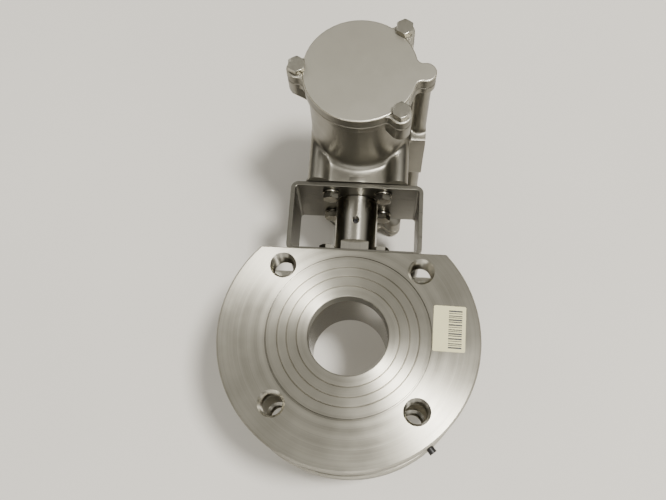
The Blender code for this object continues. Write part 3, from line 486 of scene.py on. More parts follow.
def make_materials():
    return {
        # painted shade on the upright walls of the flange, insert and ball, such as the bore
        "flange": turned_steel("turned flange steel", WARM_STEEL, 0.33, 0.40, "Z", wall_shade=0.55),
        "insert": turned_steel("turned insert steel", WARM_STEEL, 0.26, 0.34, "Z", wall_shade=0.55),
        "ball": turned_steel("polished ball steel", BRIGHT_STEEL, 0.10, 0.18, "X", anisotropy=0.3,
                             wall_shade=0.42),
        "coupling": turned_steel("turned coupling steel", BRIGHT_STEEL, 0.20, 0.26, "Z", anisotropy=0.8),
        "shaft": turned_steel("turned shaft steel", BRIGHT_STEEL, 0.18, 0.28, "Z", anisotropy=0.5),
        "cast": satin_steel("blasted cast steel", BODY_STEEL, 0.36, 0.42),
        # painted shade on the cap's upright sides and a painted highlight on its rounded edges
        "cap": satin_steel("blasted cap steel", CAST_STEEL, 0.44, 0.47, grain=0.35 * MM, spread=0.03,
                           wall_shade=0.5, rim=1.0),
        "bracket": brushed_steel("brushed sheet steel", SHEET_STEEL, 0.27, 0.33, GRAIN_ALONG_X,
                                 depth=0.002 * MM),
        "bolt": satin_steel("stainless bolt steel", CAST_STEEL, 0.20, 0.30, grain=0.8 * MM, spread=0.12),
        "black": moulded("blackened steel", (0.035, 0.034, 0.033), 0.30, 0.45, metallic=0.6),
        "spring": brushed_steel("spring steel", (0.30, 0.30, 0.30), 0.28, 0.38, (300, 300, 300)),
        "seat": moulded("white seat plastic", (0.80, 0.79, 0.74), 0.40, 0.50),
        "graphite": moulded("pressed graphite", (0.05, 0.05, 0.052), 0.45, 0.60),
        "aluminium": satin_steel("die-cast aluminium", (0.70, 0.71, 0.72), 0.34, 0.46, spread=0.04),
        "rubber": moulded("black rubber", (0.02, 0.02, 0.021), 0.55, 0.70),
        "bearing": moulded("cream bearing plastic", (0.72, 0.69, 0.56), 0.40, 0.50),
        "indicator": moulded("yellow indicator plastic", (0.70, 0.47, 0.04), 0.32, 0.42),
        "paper": moulded("label paper", (0.63, 0.585, 0.335), 0.60, 0.70, depth=0.005 * MM, spread=0.03),
        "ink": moulded("label ink", (0.02, 0.02, 0.02), 0.45, 0.55, depth=0.004 * MM),
    }


MATERIALS = make_materials()


# ---------------------------------------------------------------- valve body, turned about the bore

def face_with_grooves(radii, depth, start, end, level, down):
    """Outline points along a gasket face, with V grooves. `down` is the direction into the metal."""
    half = 0.38 * MM
    points = [(start, level)]
    for radius in radii:
        points += [(radius - half, level), (radius, level + down * depth), (radius + half, level)]
    points.append((end, level))
    return points


def body_profile():
    """Closed outline of the whole casting: outside from front to rear, then the cavity back to the front."""
    groove = 0.70 * MM
    chamfer = 1.2 * MM
    mouth = 0.6 * MM
    chamber_half = 17.5 * MM
    seat_end = STEM_Z + 25.0 * MM
    back = -FACE_H - PLATE_T
    front = face_with_grooves(GROOVE_RADII, groove, BORE_R + mouth, FACE_R, 0.0, -1)
    half = [
        (FACE_R, -FACE_H - RELIEF),
        (FACE_R + RELIEF, -FACE_H - RELIEF),
        (FACE_R + RELIEF, -FACE_H),
        (FLANGE_R - chamfer, -FACE_H),
        (FLANGE_R, -FACE_H - chamfer),
        (FLANGE_R, back + chamfer),
        (FLANGE_R - chamfer, back),
        (WAIST_R + 3.0 * MM, back),
        (WAIST_R, back - 3.0 * MM),
    ]
    mirrored = [(radius, -DEPTH - z) for radius, z in reversed(half)]
    pocket_r = INSERT_R + GAP
    rear = face_with_grooves(GROOVE_RADII[2:], groove, pocket_r, FACE_R, -DEPTH, 1)
    rear.reverse()
    inside = [
        (pocket_r, STEM_Z - chamber_half),
        (CHAMBER_R, STEM_Z - chamber_half),
        (CHAMBER_R, STEM_Z + chamber_half),
        (SEAT_R, STEM_Z + chamber_half),
        (SEAT_R, seat_end),
        (BORE_R, seat_end),
        (BORE_R, -mouth),
    ]
    return front + half + mirrored + rear + inside


def threaded_hole(major, minor, pitch, low, high, mouth):
    """Cutter for a threaded hole: V grooves of the thread's pitch between two countersunk mouths."""
    chamfer = mouth - minor
    points = [(0, high + MM), (mouth, high + MM), (mouth, high), (minor, high - chamfer)]
    turns = int((high - low - 2 * chamfer) / pitch)
    for index in range(turns):
        top = high - chamfer - index * pitch
        points += [(major, top - pitch / 2), (minor, top - pitch)]
    points += [(minor, low + chamfer * 0.5), (mouth, low), (mouth, low - MM), (0, low - MM)]
    return turned("threaded_hole", points, 40, closed=False, edge=0)


def flat_cutter():
    """Removes the casting above the bracket flat, and breaks the flat's front and rear edges."""
    edge = 0.6 * MM
    far = 0.2
    front = -FACE_H
    rear = -DEPTH + FACE_H
    outline = [
        (FLAT_Y - edge, far),
        (FLAT_Y - edge, front),
        (FLAT_Y, front - edge),
        (FLAT_Y, rear + edge),
        (FLAT_Y - edge, rear),
        (FLAT_Y - edge, -far),
        (far, -far),
        (far, far),
    ]
    return prism("flat_cut", outline, -far, far)


def valve_body():
    body = link("flanged_valve_body", turned("flanged_valve_body", body_profile(), edge=0.25 * MM), FACE)
    boss_half = 24.0 * MM
    overlap = 1.0 * MM
    back = -FACE_H - PLATE_T
    boss = block("boss", (-boss_half, 0.75 * WAIST_R, -DEPTH - back - overlap),
                 (boss_half, FLAT_Y + overlap, back + overlap))
    combine(body, "UNION", [boss])
    combine(body, "DIFFERENCE", [flat_cutter()], rotation=(QUARTER, 0, QUARTER))
    holes = []
    plates = ((back, -FACE_H), (-DEPTH + FACE_H, -DEPTH - back))
    half_pattern = HOLE_CIRCLE_R / math.sqrt(2)
    for low, high in plates:
        thread = threaded_hole(8.0 * MM, 7.0 * MM, 2.0 * MM, low, high, 8.5 * MM)
        holes += [(thread, moved(x, y)) for x, y in corners(half_pattern)]
    combine(body, "DIFFERENCE", [merged("holes", holes)])
    chamber_r = 15.8 * MM
    top = FLAT_Y + 2 * MM
    bottom = 30 * MM
    outline = [(0, top), (chamber_r, top), (chamber_r, bottom), (0, bottom)]
    chamber = turned("packing_chamber", outline, SMALL_ROUND, False, 0)
    combine(body, "DIFFERENCE", [chamber], place=DRIVE, rotation=ALONG_Y)
    dress(body, MATERIALS["flange"], "machined_steel", STATIC, "valve_body", angle=28)


def insert_and_seats():
    radii = (32 * MM, 30 * MM, 28 * MM, 26 * MM)
    sphere = 35.3 * MM
    shelf = 24.7 * MM
    seat = [(radii[-1], shelf), (radii[0], shelf)]
    seat += [(radius, sphere * math.sin(math.acos(radius / sphere))) for radius in radii]
    for name, rotation in (("front", (0, 0, 0)), ("rear", (math.pi, 0, 0))):
        obj = link(name + "_seat_ring", turned(name + "_seat_ring", seat, edge=0.15 * MM), DRIVE, rotation)
        dress(obj, MATERIALS["seat"], "seat_plastic", STATIC, name + "_seat")
    rear = -DEPTH
    front = STEM_Z - 19.6 * MM
    shelf_z = STEM_Z - 25.0 * MM
    groove_r = 34.8 * MM
    groove = 0.4 * MM
    outline = [(SEAT_R, front), (INSERT_R, front), (INSERT_R, rear)]
    outline += [(groove_r + groove, rear), (groove_r, rear + groove), (groove_r - groove, rear)]
    outline += [(MOUTH_R, rear), (radii[-1], shelf_z - MM), (radii[-1], shelf_z), (SEAT_R, shelf_z)]
    insert = link("rear_screwed_insert", turned("rear_screwed_insert", outline), FACE)
    spanner = [(cylinder("spanner", 1.9 * MM, rear - MM, rear + 3 * MM, 24, (x, 0)), moved())
               for x in (-32.2 * MM, 32.2 * MM)]
    combine(insert, "DIFFERENCE", [merged("spanner_holes", spanner)])
    dress(insert, MATERIALS["insert"], "machined_steel", STATIC, "seat_retainer")


def ball():
    radius = 35.0 * MM
    half = math.acos(BORE_R / radius)
    outer = arc((0, 0), radius, half, -half, 40)
    obj = link("polished_ball", turned("polished_ball", outer, edge=0.2 * MM), DRIVE)
    slot_floor = 29.5 * MM
    slot_half = 5 * MM
    slot = block("slot", (-radius, slot_floor, -slot_half), (radius, 40 * MM, slot_half))
    combine(obj, "DIFFERENCE", [slot])
    dress(obj, MATERIALS["ball"], "bright_steel", TURNING, "ball")


def earth_screw():
    top = 4.2 * MM
    socket_r = 1.2 * MM
    socket = top - 1.6 * MM
    head_r = 2.4 * MM
    seat = 0.3 * MM
    shank_r = 1.5 * MM
    tip = -6 * MM
    profile = [(0, socket), (socket_r, socket), (socket_r, top), (head_r, top), (head_r, seat),
               (shank_r, seat), (shank_r, tip), (0, tip)]
    outward = Vector((*polar(1, RIM_SCREW_ANGLE), 0))
    place = FACE + outward * FLANGE_R + Vector((0, 0, -FACE_H - PLATE_T / 2))
    screw = link("small_earth_screw", turned("small_earth_screw", profile, 32, False), place,
                 outward.to_track_quat("Z", "Y").to_euler())
    dress(screw, MATERIALS["black"], "black_oxide", STATIC, "earth_screw")


def label():
    """Plain cream label with a group of bars, on the right of the flange's front."""
    half_x = 10.0 * MM
    half_y = 14.5 * MM
    corner = 1.0 * MM
    paper_t = 0.08 * MM
    outline = []
    for x, y, quarter in ((1, 1, 0), (-1, 1, 1), (-1, -1, 2), (1, -1, 3)):
        centre = (x * (half_x - corner), y * (half_y - corner))
        outline += arc(centre, corner, quarter * QUARTER, (quarter + 1) * QUARTER, 6)
    centre_x = 62.5 * MM
    centre_y = 8.0 * MM
    place = FACE + Vector((centre_x, centre_y, -FACE_H))
    turn = (0, 0, math.radians(-1.0))
    paper = link("plain_label", prism("plain_label", outline, 0.01 * MM, paper_t), place, turn)
    dress(paper, MATERIALS["paper"], "machined_steel", STATIC)
    bars = []
    y = -12.4 * MM
    last = 11.8 * MM
    left = -0.6 * MM
    right = 7.8 * MM
    ink_top = paper_t + 0.02 * MM
    widths = (1.0, 0.5, 0.7, 0.5, 1.0, 0.7)
    index = 0
    while y < last:
        width = widths[index % len(widths)] * MM
        bars.append((block("bar", (left, y, paper_t), (right, y + width, ink_top)), moved()))
        y += width + widths[(index * 5 + 2) % len(widths)] * MM
        index += 1
    ink = link("label_bars", merged("label_bars", bars), place, turn)
    dress(ink, MATERIALS["ink"], "black_oxide", STATIC)


# ---------------------------------------------------------------- fasteners

def hexagon(across_flats):
    return [polar(across_flats / math.sqrt(3), i * math.pi / 3) for i in range(6)]


def chamfered_hexagon(name, across_flats, low, high, both_ends=False):
    """Hexagon prism whose corners are turned off, as on a bolt head or nut."""
    corner = across_flats / math.sqrt(3)
    inner = across_flats / 2 * 0.97
    drop = (corner - inner) * math.tan(math.radians(28))
    obj = link(name, prism(name, hexagon(across_flats), low, high))
    bottom = [(corner * 1.2, low + drop), (inner, low)] if both_ends else [(corner * 1.2, low)]
    cone = [(0, high), (inner, high), (corner * 1.05, high - drop * 1.2), (corner * 1.2, high - drop * 1.6)]
    envelope = turned("envelope", cone + bottom + [(0, low)], 64, False, 0)
    combine(obj, "INTERSECT", [envelope])
    return obj


def bolt_mesh(name, shank, foot=0.0):
    """M6 hexagon bolt, its head standing on z = 0 or on a washer face `foot` deep, and its shank below."""
    washer_r = 4.9 * MM
    shank_r = 2.95 * MM
    tip_r = 2.3 * MM
    inside = 0.6 * MM
    head = chamfered_hexagon(name, HEAD_WIDTH, 0.35 * MM, HEAD_H)
    profile = [(0, inside), (washer_r, inside), (washer_r, -foot), (shank_r, -foot), (shank_r, -shank + MM),
               (tip_r, -shank), (0, -shank)]
    combine(head, "UNION", [turned("collar", profile, 32, False, 0.1 * MM)])
    return take_mesh(head)


def fasten(name, mesh, node, axis, seat, rotation):
    """Put a fastener on the middle of its node, seated at a level along axis 1 (Y) or 2 (Z)."""
    low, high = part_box(node)
    place = (low + high) / 2
    place[axis] = seat
    dress(link(name, mesh, place, rotation), MATERIALS["bolt"], "bright_steel", STATIC, node)


def bracket_fasteners():
    lower = bolt_mesh("lower_bolt", 15.0 * MM)
    upper = bolt_mesh("upper_bolt", 14.0 * MM)
    washer = turned("washer", band(3.2 * MM, 6.0 * MM, 0, 1.2 * MM), SMALL_ROUND)
    for index in range(1, 5):
        node = f"lower_bracket_bolt_{index}"
        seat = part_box(node)[1].y - HEAD_H
        fasten(f"lower_plate_bolt_{index}", lower, node, 1, seat, (ALONG_Y[0], 0.35 * index, 0))
        node = f"upper_bracket_bolt_{index}"
        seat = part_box(node)[0].y + HEAD_H
        fasten(f"upper_plate_bolt_{index}", upper, node, 1, seat, (QUARTER, 0.5 * index, 0))
        node = f"upper_bracket_washer_{index}"
        fasten(f"upper_plate_washer_{index}", washer, node, 1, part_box(node)[0].y, ALONG_Y)


def cap_bolts():
    mesh = bolt_mesh("cap_bolt", 18.0 * MM, LOBE_STEP)
    for side, flip in (("front", 0.0), ("rear", math.pi)):
        for index in range(1, 4):
            node = f"{side}_cap_bolt_{index}"
            low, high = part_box(node)
            seat = high.z - HEAD_H if side == "front" else low.z + HEAD_H
            fasten(f"{side}_cover_bolt_{index}", mesh, node, 2, seat, (flip, 0, QUARTER))


# ---------------------------------------------------------------- bracket, stem and coupling

def rounded_rectangle(half_x, low_y, high_y, radius):
    centres = [(half_x - radius, high_y - radius), (radius - half_x, high_y - radius),
               (radius - half_x, low_y + radius), (half_x - radius, low_y + radius)]
    points = []
    for quarter, centre in enumerate(centres):
        points += arc(centre, radius, quarter * QUARTER, (quarter + 1) * QUARTER, 10)
    return points


def bracket():
    bend = 5.0 * MM
    half_z = BRACKET_HIGH.z
    outer = rounded_rectangle(BRACKET_HIGH.x, BRACKET_LOW.y, BRACKET_HIGH.y, bend)
    inner = rounded_rectangle(BRACKET_HIGH.x - SHEET_T, BRACKET_LOW.y + SHEET_T, BRACKET_HIGH.y - SHEET_T,
                              bend - SHEET_T)
    obj = link("box_bracket", prism("box_bracket", outer, -half_z, half_z), DRIVE)
    combine(obj, "DIFFERENCE", [prism("window", inner, -half_z - MM, half_z + MM)])
    bevelled(obj, 0.35 * MM)
    bolt_r = 3.4 * MM
    cuts = []
    for level, radius in ((BRACKET_LOW.y, LOWER_HOLE_R), (BRACKET_HIGH.y - SHEET_T, UPPER_HOLE_R)):
        low = level - MM
        high = level + SHEET_T + MM
        cuts.append((cylinder("hole", radius, low, high, 96), moved()))
        for centre in corners(PATTERN_HALF):
            cuts.append((cylinder("hole", bolt_r, low, high, 32, centre), moved()))
    combine(obj, "DIFFERENCE", [merged("bracket_holes", cuts)], rotation=ALONG_Y)
    dress(obj, MATERIALS["bracket"], "bracket_steel", STATIC, "mounting_bracket")


def coupling():
    radius = 14.5 * MM
    low = COUPLING_LOW.y
    high = COUPLING_HIGH.y
    top_edge = 0.8 * MM
    low_edge = 0.5 * MM
    profile = [(SQUARE_HALF, high), (radius - top_edge, high), (radius, high - top_edge),
               (radius, low + low_edge), (radius - low_edge, low), (SQUARE_HALF, low)]
    obj = link("drive_coupling", turned("drive_coupling", profile), DRIVE, ALONG_Y)
    socket = SQUARE_HALF + GAP
    flat = 11.1 * MM
    flat_top = low + 6.4 * MM
    far = 30.0 * MM
    square = block("square", (-socket, -socket, low - MM), (socket, socket, high + MM))
    front = block("flat", (-far, -far, low - MM), (far, -flat, flat_top))
    rear = block("flat", (-far, flat, low - MM), (far, far, flat_top))
    combine(obj, "DIFFERENCE", [square, front, rear])
    thread = threaded_hole(major=2.5 * MM, minor=2.1 * MM, pitch=0.8 * MM, low=SQUARE_HALF - MM,
                           high=radius + 0.05 * MM, mouth=2.9 * MM)
    combine(obj, "DIFFERENCE", [thread], place=DRIVE + Vector((0, SET_SCREW_Y, 0)), rotation=(0, 0, 0))
    dress(obj, MATERIALS["coupling"], "bright_steel", TURNING, "coupling")
    screw_r = 1.9 * MM
    screw_l = 3.0 * MM
    screw_profile = [(0, screw_l), (screw_r, screw_l), (screw_r, 0), (0, 0)]
    low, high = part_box("coupling_set_screw")
    middle = (low + high) / 2
    screw = link("hexagon_socket_screw", turned("socket_screw", screw_profile, 32, False),
                 (middle.x, middle.y, low.z))
    combine(screw, "DIFFERENCE", [prism("key", hexagon(2.0 * MM), 1.2 * MM, 4 * MM)])
    dress(screw, MATERIALS["black"], "black_oxide", TURNING, "coupling_set_screw")


def square_cutters(low, high):
    """Four blocks that leave only the drive square of a turned shaft."""
    outer = 20 * MM
    keep = SQUARE_HALF
    return [block("flats", (-outer, keep, low), (outer, outer, high)),
            block("flats", (-outer, -outer, low), (outer, -keep, high)),
            block("flats", (keep, -outer, low), (outer, outer, high)),
            block("flats", (-outer, -outer, low), (-keep, outer, high))]


def stem_and_nut():
    low, high = (corner.y - BORE_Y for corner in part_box("stem"))
    edge = 0.6 * MM
    collar_r = 13.4 * MM
    collar_low = 35.6 * MM
    collar_high = 39.6 * MM
    profile = [(0, high), (STEM_R - edge, high), (STEM_R, high - edge), (STEM_R, collar_high),
               (collar_r, collar_high), (collar_r, collar_low), (0, collar_low)]
    stem = link("blowout_proof_stem", turned("stem", profile, 64, False), DRIVE, ALONG_Y)
    tang_x = 9.5 * MM
    tang_y = 4.7 * MM
    tang = block("tang", (-tang_x, -tang_y, low), (tang_x, tang_y, collar_low + MM))
    combine(stem, "UNION", [tang])
    combine(stem, "DIFFERENCE", square_cutters(64.3 * MM, high + MM))
    dress(stem, MATERIALS["shaft"], "bright_steel", TURNING, "stem")
    low, high = (corner.y - BORE_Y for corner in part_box("gland_nut"))
    nut = chamfered_hexagon("packing_gland_nut", 27.0 * MM, low, high, both_ends=True)
    nut.location = DRIVE
    nut.rotation_euler = ALONG_Y
    bore_r = 11.3 * MM
    mouth = 0.8 * MM
    bore = [(0, high + MM), (bore_r + mouth, high + MM), (bore_r, high - mouth), (bore_r, low - MM),
            (0, low - MM)]
    combine(nut, "DIFFERENCE", [turned("nut_bore", bore, 64, False, 0)])
    dress(nut, MATERIALS["black"], "black_oxide", TURNING, "gland_nut")


# ---------------------------------------------------------------- actuator housing and caps

def lobes():
    """(angle, centre radius, blend on the clockwise side, blend on the other side) of each lobe."""
    small = 4.0 * MM
    wide = 14.0 * MM
    return [
        (math.radians(BOLT_ANGLES[2]), LOBE_CENTRE, small, wide),
        (0.0, PORT_CENTRE, small, small),
        (math.radians(BOLT_ANGLES[0]), LOBE_CENTRE, wide, small),
        (math.radians(BOLT_ANGLES[1]), LOBE_CENTRE, small, small),
    ]


def blend_point(radius, centre, angle, fillet, side):
    """Centre of the circle that touches the disc and a lobe from outside, on one side of the lobe."""
    reach = radius + fillet
    cosine = (centre ** 2 + reach ** 2 - (LOBE_R + fillet) ** 2) / (2 * centre * reach)
    direction = angle + side * math.acos(cosine)
    return Vector(polar(reach, direction))


def heading(vector):
    return math.atan2(vector[1], vector[0])


def sweep(centre, radius, start, end, steps, turn):
    """Arc from one heading to another, turning anticlockwise (1) or clockwise (-1)."""
    while (end - start) * turn < 0:
        end += turn * 2 * math.pi
    return arc(centre, radius, start, end, steps)


def lobed_outline(radius, chosen=None, steps=26):
    """Disc with blended lobes, all four or the chosen ones, anticlockwise."""
    points = []
    spans = []
    for angle, centre, before, after in chosen or lobes():
        middle = Vector(polar(centre, angle))
        first = blend_point(radius, centre, angle, before, -1)
        last = blend_point(radius, centre, angle, after, 1)
        spans.append((angle, middle, first, before, last, after))
    for index, (angle, middle, first, before, last, after) in enumerate(spans):
        points += sweep(first, before, heading(-first), heading(middle - first), 8, -1)[:-1]
        points += sweep(middle, LOBE_R, heading(first - middle), heading(last - middle), 20, 1)[:-1]
        points += sweep(last, after, heading(middle - last), heading(-last), 8, -1)[:-1]
        following = spans[(index + 1) % len(spans)][2]
        points += sweep((0, 0), radius, heading(last), heading(following), steps, 1)[:-1]
    return points


def end_cap(side, rotation):
    name = side + "_cover"
    plate = prism(name, lobed_outline(CAP_R), CAP_BACK, CAP_HIGH - LOBE_STEP)
    obj = link(name, rounded(plate, 0.8 * MM), BARREL, rotation)
    proud = 1 + 0.05 * MM / CAP_R
    outline = [(x * proud, y * proud) for x, y in lobed_outline(CAP_R, lobes()[1:2], 110)]
    raised = prism("raised", outline, CAP_HIGH - 4.0 * MM, CAP_HIGH)
    combine(obj, "UNION", [rounded(raised, CAP_ROUND)])
    dress(obj, MATERIALS["cap"], "cast_steel", STATIC, side + "_end_cap")


def voxel_body(name, meshes, size, smoothing):
    """Fuse overlapping shapes into one skin and round the corners where they meet, as a casting does."""
    obj = link(name, merged(name, meshes), BARREL)
    remesh = obj.modifiers.new("fuse", "REMESH")
    remesh.mode = "VOXEL"
    remesh.voxel_size = size
    smooth = obj.modifiers.new("round", "SMOOTH")
    smooth.factor = 0.5
    smooth.iterations = smoothing
    return settle(obj)


def neck_shapes():
    """The rough casting in the barrel's frame: barrel, corner columns, web, lips and boss."""
    along_y = moved(rotation=ALONG_Y)
    plain = moved()
    end = HOUSING_END - PAST
    low = BASE_Y - PAST
    column_r = COLUMN_R + 0.4 * MM
    web_x = 30 * MM
    shapes = [(cylinder("barrel", BARREL_R + 0.1 * MM, -end, end, ROUND), plain)]
    for centre in corners(COLUMN_HALF):
        shapes.append((cylinder("column", column_r, low, 0, 40, centre), along_y))
    shapes.append((block("web", (-web_x, low, -WEB_HALF), (web_x, 0, WEB_HALF)), plain))
    first = -QUARTER - LIP_SPREAD
    last = -QUARTER + LIP_SPREAD
    outline = arc((0, 0), BARREL_R + 2.0 * MM, first, last, 32)
    outline += arc((0, 0), BARREL_R - 4.0 * MM, last, first, 32)
    for low in (WEB_HALF - LIP_ROOT, -WEB_HALF - LIP_H):
        shapes.append((prism("lip", outline, low, low + LIP_H + LIP_ROOT), plain))
    shapes.append((cylinder("boss", BOSS_R, 0, BOSS_Y + PAST, 64), along_y))
    return shapes


def side_shapes():
    """Port pad and air channel on the right of the barrel."""
    plain = moved()
    end = HOUSING_END - PAST
    pad_y = 10.5 * MM
    pad_z = 26 * MM
    web_y = 2.4 * MM
    return [
        (block("port_pad", (24 * MM, -pad_y, -pad_z), (PAD_X + 2 * MM, pad_y, pad_z)), plain),
        (cylinder("channel", 4.6 * MM, -end, end, 40, (PORT_CENTRE, 0)), plain),
        (block("channel_web", (28 * MM, -web_y, -end), (PORT_CENTRE, web_y, end)), plain),
    ]


def bores():
    """Cylinder bore, and the stepped bore of the shaft and its bushes (about the drive's axis)."""
    cylinder_bore = cylinder("bore", 28.0 * MM, -0.1, 0.1, ROUND)
    above = BOSS_Y + 5 * MM
    below = BASE_Y - 5 * MM
    pocket_top = BASE_Y + 11.4 * MM
    bush_low = 27.2 * MM
    levels = (above, bush_low, 0, pocket_top, below)
    outline = [(0, above)]
    for radius, high, low in zip((11.6, 9.0, 11.5, 13.9), levels, levels[1:]):
        outline += [(radius * MM, high), (radius * MM, low)]
    outline.append((0, below))
    return cylinder_bore, turned("shaft_bore", outline, 64, False, 0)


def lobe_mesh(slope):
    """Bolt lobe along +X: a rounded pad with its web, whose underside slopes back to the barrel."""
    radius = LOBE_R - 0.1 * MM
    top = HOUSING_END - MM
    low = HOUSING_END - LOBE_LENGTH
    inside = BARREL_R - 6.0 * MM
    rim = arc((LOBE_CENTRE, 0), radius, -QUARTER, QUARTER, 24)
    outline = rim + [(inside, radius), (inside, -radius)]
    bm = bmesh.new()
    for x, y in outline:
        bm.verts.new((x, y, top))
        bm.verts.new((x, y, low - slope if x == inside else low))
    hull = bmesh.ops.convex_hull(bm, input=bm.verts)
    bmesh.ops.delete(bm, geom=hull["geom_interior"], context="VERTS")
    bmesh.ops.dissolve_limit(bm, angle_limit=math.radians(1), verts=bm.verts, edges=bm.edges)
    return to_mesh(bm, "lobe")


def housing():
    rough = take_mesh(voxel_body("rough_casting", neck_shapes(), 0.9 * MM, 14))
    obj = voxel_body("cylinder_housing", [(rough, moved())] + side_shapes(), 0.8 * MM, 4)
    far = 0.1
    planes = [
        block("base", (-far, BASE_Y - far, -far), (far, BASE_Y, far)),
        block("boss_top", (-far, BOSS_Y, -far), (far, BOSS_Y + far, far)),
        block("pad_face", (PAD_X, -far, -far), (PAD_X + far, far, far)),
    ]
    combine(obj, "DIFFERENCE", planes)
    pad_r = 29.5 * MM
    pad_top = BASE_Y + 3.4 * MM
    pad = [(0, pad_top), (pad_r, pad_top), (pad_r, BASE_Y), (0, BASE_Y)]
    combine(obj, "UNION", [turned("base_pad", pad, 96, False, 0.4 * MM)], rotation=ALONG_Y)
    flange = prism("end_flange", lobed_outline(CAP_R - 0.2 * MM), HOUSING_END - 6.0 * MM, HOUSING_END)
    flange = rounded(flange, 0.9 * MM)
    pads = [(rounded(lobe_mesh(slope), 0.5 * MM), moved(rotation=(0, 0, math.radians(angle))))
            for angle, slope in zip(BOLT_ANGLES, LOBE_SLOPES)]
    for turn in ((0, 0, 0), (math.pi, 0, 0)):
        ends = link("ends", flange.copy(), BARREL, turn)
        combine(ends, "UNION", [merged("lobes", pads)])
        combine(obj, "UNION", [take_mesh(ends)], rotation=turn)
    cylinder_bore, shaft_bore = bores()
    combine(obj, "DIFFERENCE", [cylinder_bore])
    combine(obj, "DIFFERENCE", [shaft_bore], rotation=ALONG_Y)
    port = threaded_hole(major=4.9 * MM, minor=4.3 * MM, pitch=1.0 * MM, low=PAD_X - 8 * MM, high=PAD_X,
                         mouth=5.2 * MM)
    for z in (12.0 * MM, -12.0 * MM):
        combine(obj, "DIFFERENCE", [port.copy()], place=BARREL + Vector((0, 0, z)), rotation=ALONG_X)
    dress(obj, MATERIALS["cast"], "cast_steel", STATIC, "actuator_housing", angle=35)


# ---------------------------------------------------------------- shaft top, clip and indicator

def shaft():
    groove = BOSS_Y + 1.5 * MM
    groove_top = groove + 1.5 * MM
    depth = 0.6 * MM
    profile = [(0, SHAFT_Y), (JOURNAL_R - depth, SHAFT_Y), (JOURNAL_R, SHAFT_Y - depth),
               (JOURNAL_R, groove_top), (JOURNAL_R - depth, groove_top), (JOURNAL_R - depth, groove),
               (JOURNAL_R, groove), (JOURNAL_R, 0), (STEM_R, -2 * MM), (STEM_R, SHAFT_LOW), (0, SHAFT_LOW)]
    obj = link("pinion_shaft_ends", turned("pinion_shaft_ends", profile, 96, False), BARREL, ALONG_Y)
    slot_x = 20 * MM
    slot_half = 2 * MM
    slot = block("slot", (-slot_x, -slot_half, SHAFT_Y - 3 * MM), (slot_x, slot_half, SHAFT_Y + MM))
    square_top = COUPLING_HIGH.y - (BARREL_Y - BORE_Y) + MM
    combine(obj, "DIFFERENCE", [slot] + square_cutters(SHAFT_LOW - MM, square_top))
    dress(obj, MATERIALS["shaft"], "bright_steel", TURNING, "pinion_shaft")


def clip_and_washer():
    low, high = (corner.y - BARREL_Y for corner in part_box("shaft_circlip"))
    outer = 11.0 * MM
    ears = []
    eyes = []
    for angle in (math.radians(22), math.radians(-22)):
        ears.append((cylinder("ear", 2.3 * MM, low, high, 24, polar(10.6 * MM, angle)), moved()))
        eyes.append((cylinder("eye", 0.9 * MM, low - MM, high + MM, 16, polar(outer, angle)), moved()))
    clip = link("retaining_clip", turned("clip", band(8.2 * MM, outer, low, high), 72), BARREL, ALONG_Y)
    combine(clip, "UNION", [merged("ears", ears)])
    far = 20 * MM
    spread = 4.2 * MM
    wedge = prism("wedge", [(0, 0), (far, spread), (far, -spread)], low - MM, high + MM)
    combine(clip, "DIFFERENCE", [wedge, merged("eyes", eyes)])
    dress(clip, MATERIALS["spring"], "spring_steel", TURNING, "shaft_circlip")
    low, high = (corner.y - BARREL_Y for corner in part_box("shaft_thrust_washer"))
    ring = turned("thrust", band(8.8 * MM, 13 * MM, low, high), 72)
    dress(link("thrust_ring", ring, BARREL, ALONG_Y), MATERIALS["bearing"], "bearing_plastic", STATIC,
          "shaft_thrust_washer")


def indicator():
    low, high = (corner.y - BARREL_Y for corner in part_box("position_indicator"))
    disc = low + 3.5 * MM
    floor_y = disc - 0.6 * MM
    inside = 8.8 * MM
    outside = 16 * MM
    profile = [(inside, disc), (10.2 * MM, disc), (10.6 * MM, floor_y), (14.4 * MM, floor_y),
               (14.8 * MM, disc), (outside, disc), (outside, low), (inside, low)]
    obj = link("position_pointer", turned("position_pointer", profile, 96), BARREL, ALONG_Y)
    bars = []
    bar_half = 2.5 * MM
    for sign in (-1, 1):
        inner, outer = sorted((sign * 9.3 * MM, sign * 15 * MM))
        bars.append((block("bar", (inner, -bar_half, disc - MM), (outer, bar_half, high)), moved()))
    combine(obj, "UNION", [merged("bars", bars)])
    bevelled(obj, 0.25 * MM, 2, 50)
    dress(obj, MATERIALS["indicator"], "indicator_plastic", TURNING, "position_indicator")


# ---------------------------------------------------------------- pieces kept from the frame

def hidden_pieces():
    """Inner pieces keep their own shape and take a proper material."""
    looks = {
        "seat_plastic": "seat", "graphite": "graphite", "bright_steel": "bolt", "spring_steel": "spring",
        "bearing_plastic": "bearing", "seal_rubber": "rubber", "piston_metal": "aluminium",
        "machined_steel": "insert", "cast_steel": "cast", "bracket_steel": "bracket", "black_oxide": "black",
        "indicator_plastic": "indicator",
    }
    for part in frame["record"]["subparts"]:
        obj = frame["nodes"][part["node"]]
        if obj.hide_render:
            continue
        obj.data.materials.clear()
        obj.data.materials.append(MATERIALS[looks[part["material_slot"]]])


# ---------------------------------------------------------------- floor, light and camera

def floor():
    nodes = Nodes("pale floor")
    cloud = nodes.noise(3.0, nodes.place(), 3.0)
    colour = nodes.blend(nodes.span(cloud, 0, 1), (0.665, 0.635, 0.575), (0.715, 0.685, 0.62))
    material = nodes.finish(colour, 0.8, metallic=0.0)
    size = 4.0
    obj = link("floor", block("floor", (-size, -size, -0.02), (size, size, 0)))
    obj.data.materials.append(material)


WARM_LIGHT = (1.0, 0.985, 0.955)
SOFT_LIGHT = (1.0, 0.99, 0.97)


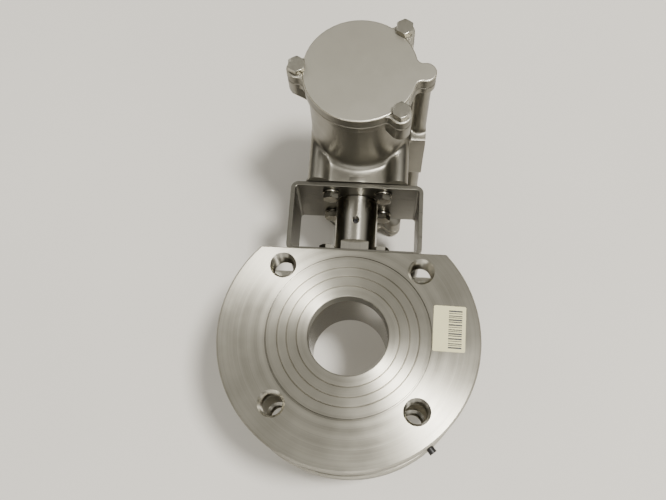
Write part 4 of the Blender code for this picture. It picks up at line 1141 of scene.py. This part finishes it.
def area_light(name, direction, distance, size, power, colour, height=None):
    """A round light, or with a height a level rectangular one, turned to the flange's front."""
    data = bpy.data.lights.new(name, "AREA")
    data.shape = "RECTANGLE" if height else "DISK"
    data.size = size
    if height:
        data.size_y = height
    data.energy = power
    data.color = colour
    place = FACE + Vector(direction) * distance
    link(name, data, place, (place - FACE).to_track_quat("Z", "Y").to_euler())


def studio():
    """Soft room light: grey ceiling overhead, darker walls, and a dim floor level."""
    world = bpy.data.worlds.new("studio")
    bpy.context.scene.world = world
    world.use_nodes = True
    tree = world.node_tree
    background = tree.nodes["Background"]
    direction = tree.nodes.new("ShaderNodeTexCoord").outputs["Generated"]
    split = tree.nodes.new("ShaderNodeSeparateXYZ")
    tree.links.new(direction, split.inputs[0])
    ramp = tree.nodes.new("ShaderNodeValToRGB")
    tree.links.new(split.outputs["Z"], ramp.inputs[0])
    tones = ((0.0, (0.050, 0.048, 0.043)), (0.45, (0.10, 0.097, 0.089)), (0.72, (0.74, 0.725, 0.68)),
             (1.0, (0.70, 0.685, 0.64)))
    elements = ramp.color_ramp.elements
    while len(elements) < len(tones):
        elements.new(0.5)
    for element, (position, colour) in zip(elements, tones):
        element.position = position
        element.color = (*colour, 1)
    tree.links.new(ramp.outputs[0], background.inputs["Color"])
    background.inputs["Strength"].default_value = 1.0


def lights():
    studio()
    area_light("right ceiling light", (0.27, -0.05, 0.93), 2.4, 0.34, 78, WARM_LIGHT)
    area_light("front light", (0.10, -0.75, 0.60), 2.4, 0.60, 5, WARM_LIGHT)
    area_light("left ceiling light", (-0.44, 0.63, 0.64), 2.6, 0.8, 6, SOFT_LIGHT)
    area_light("low front light", (0.05, -0.93, 0.36), 2.4, 3.6, 24, SOFT_LIGHT, height=0.5)


def camera():
    """Looking steeply down on the flange's front, with the actuator away from the viewer."""
    azimuth = math.radians(-10.2)
    tilt = math.radians(70.62)
    roll = math.radians(-6.88)
    forward = Vector((math.sin(azimuth) * math.cos(tilt), math.cos(azimuth) * math.cos(tilt),
                      -math.sin(tilt)))
    level = Vector((math.cos(azimuth), -math.sin(azimuth), 0))
    upward = level.cross(forward)
    right = math.cos(roll) * level + math.sin(roll) * upward
    up = -math.sin(roll) * level + math.cos(roll) * upward
    data = bpy.data.cameras.new("camera")
    data.sensor_width = 36.0
    data.lens = 43.24
    obj = link("camera", data)
    turn = Matrix((right, up, -forward)).transposed().to_4x4()
    place = FACE + Vector((17.4, -112.4, 484.2)) * MM
    obj.matrix_world = Matrix.Translation(place) @ turn
    bpy.context.scene.camera = obj


def build():
    valve_body()
    insert_and_seats()
    ball()
    earth_screw()
    label()
    bracket_fasteners()
    cap_bolts()
    bracket()
    coupling()
    stem_and_nut()
    end_cap("front", (0, 0, 0))
    end_cap("rear", (math.pi, 0, 0))
    housing()
    shaft()
    clip_and_washer()
    indicator()
    hidden_pieces()


camera()
floor()
lights()
build()
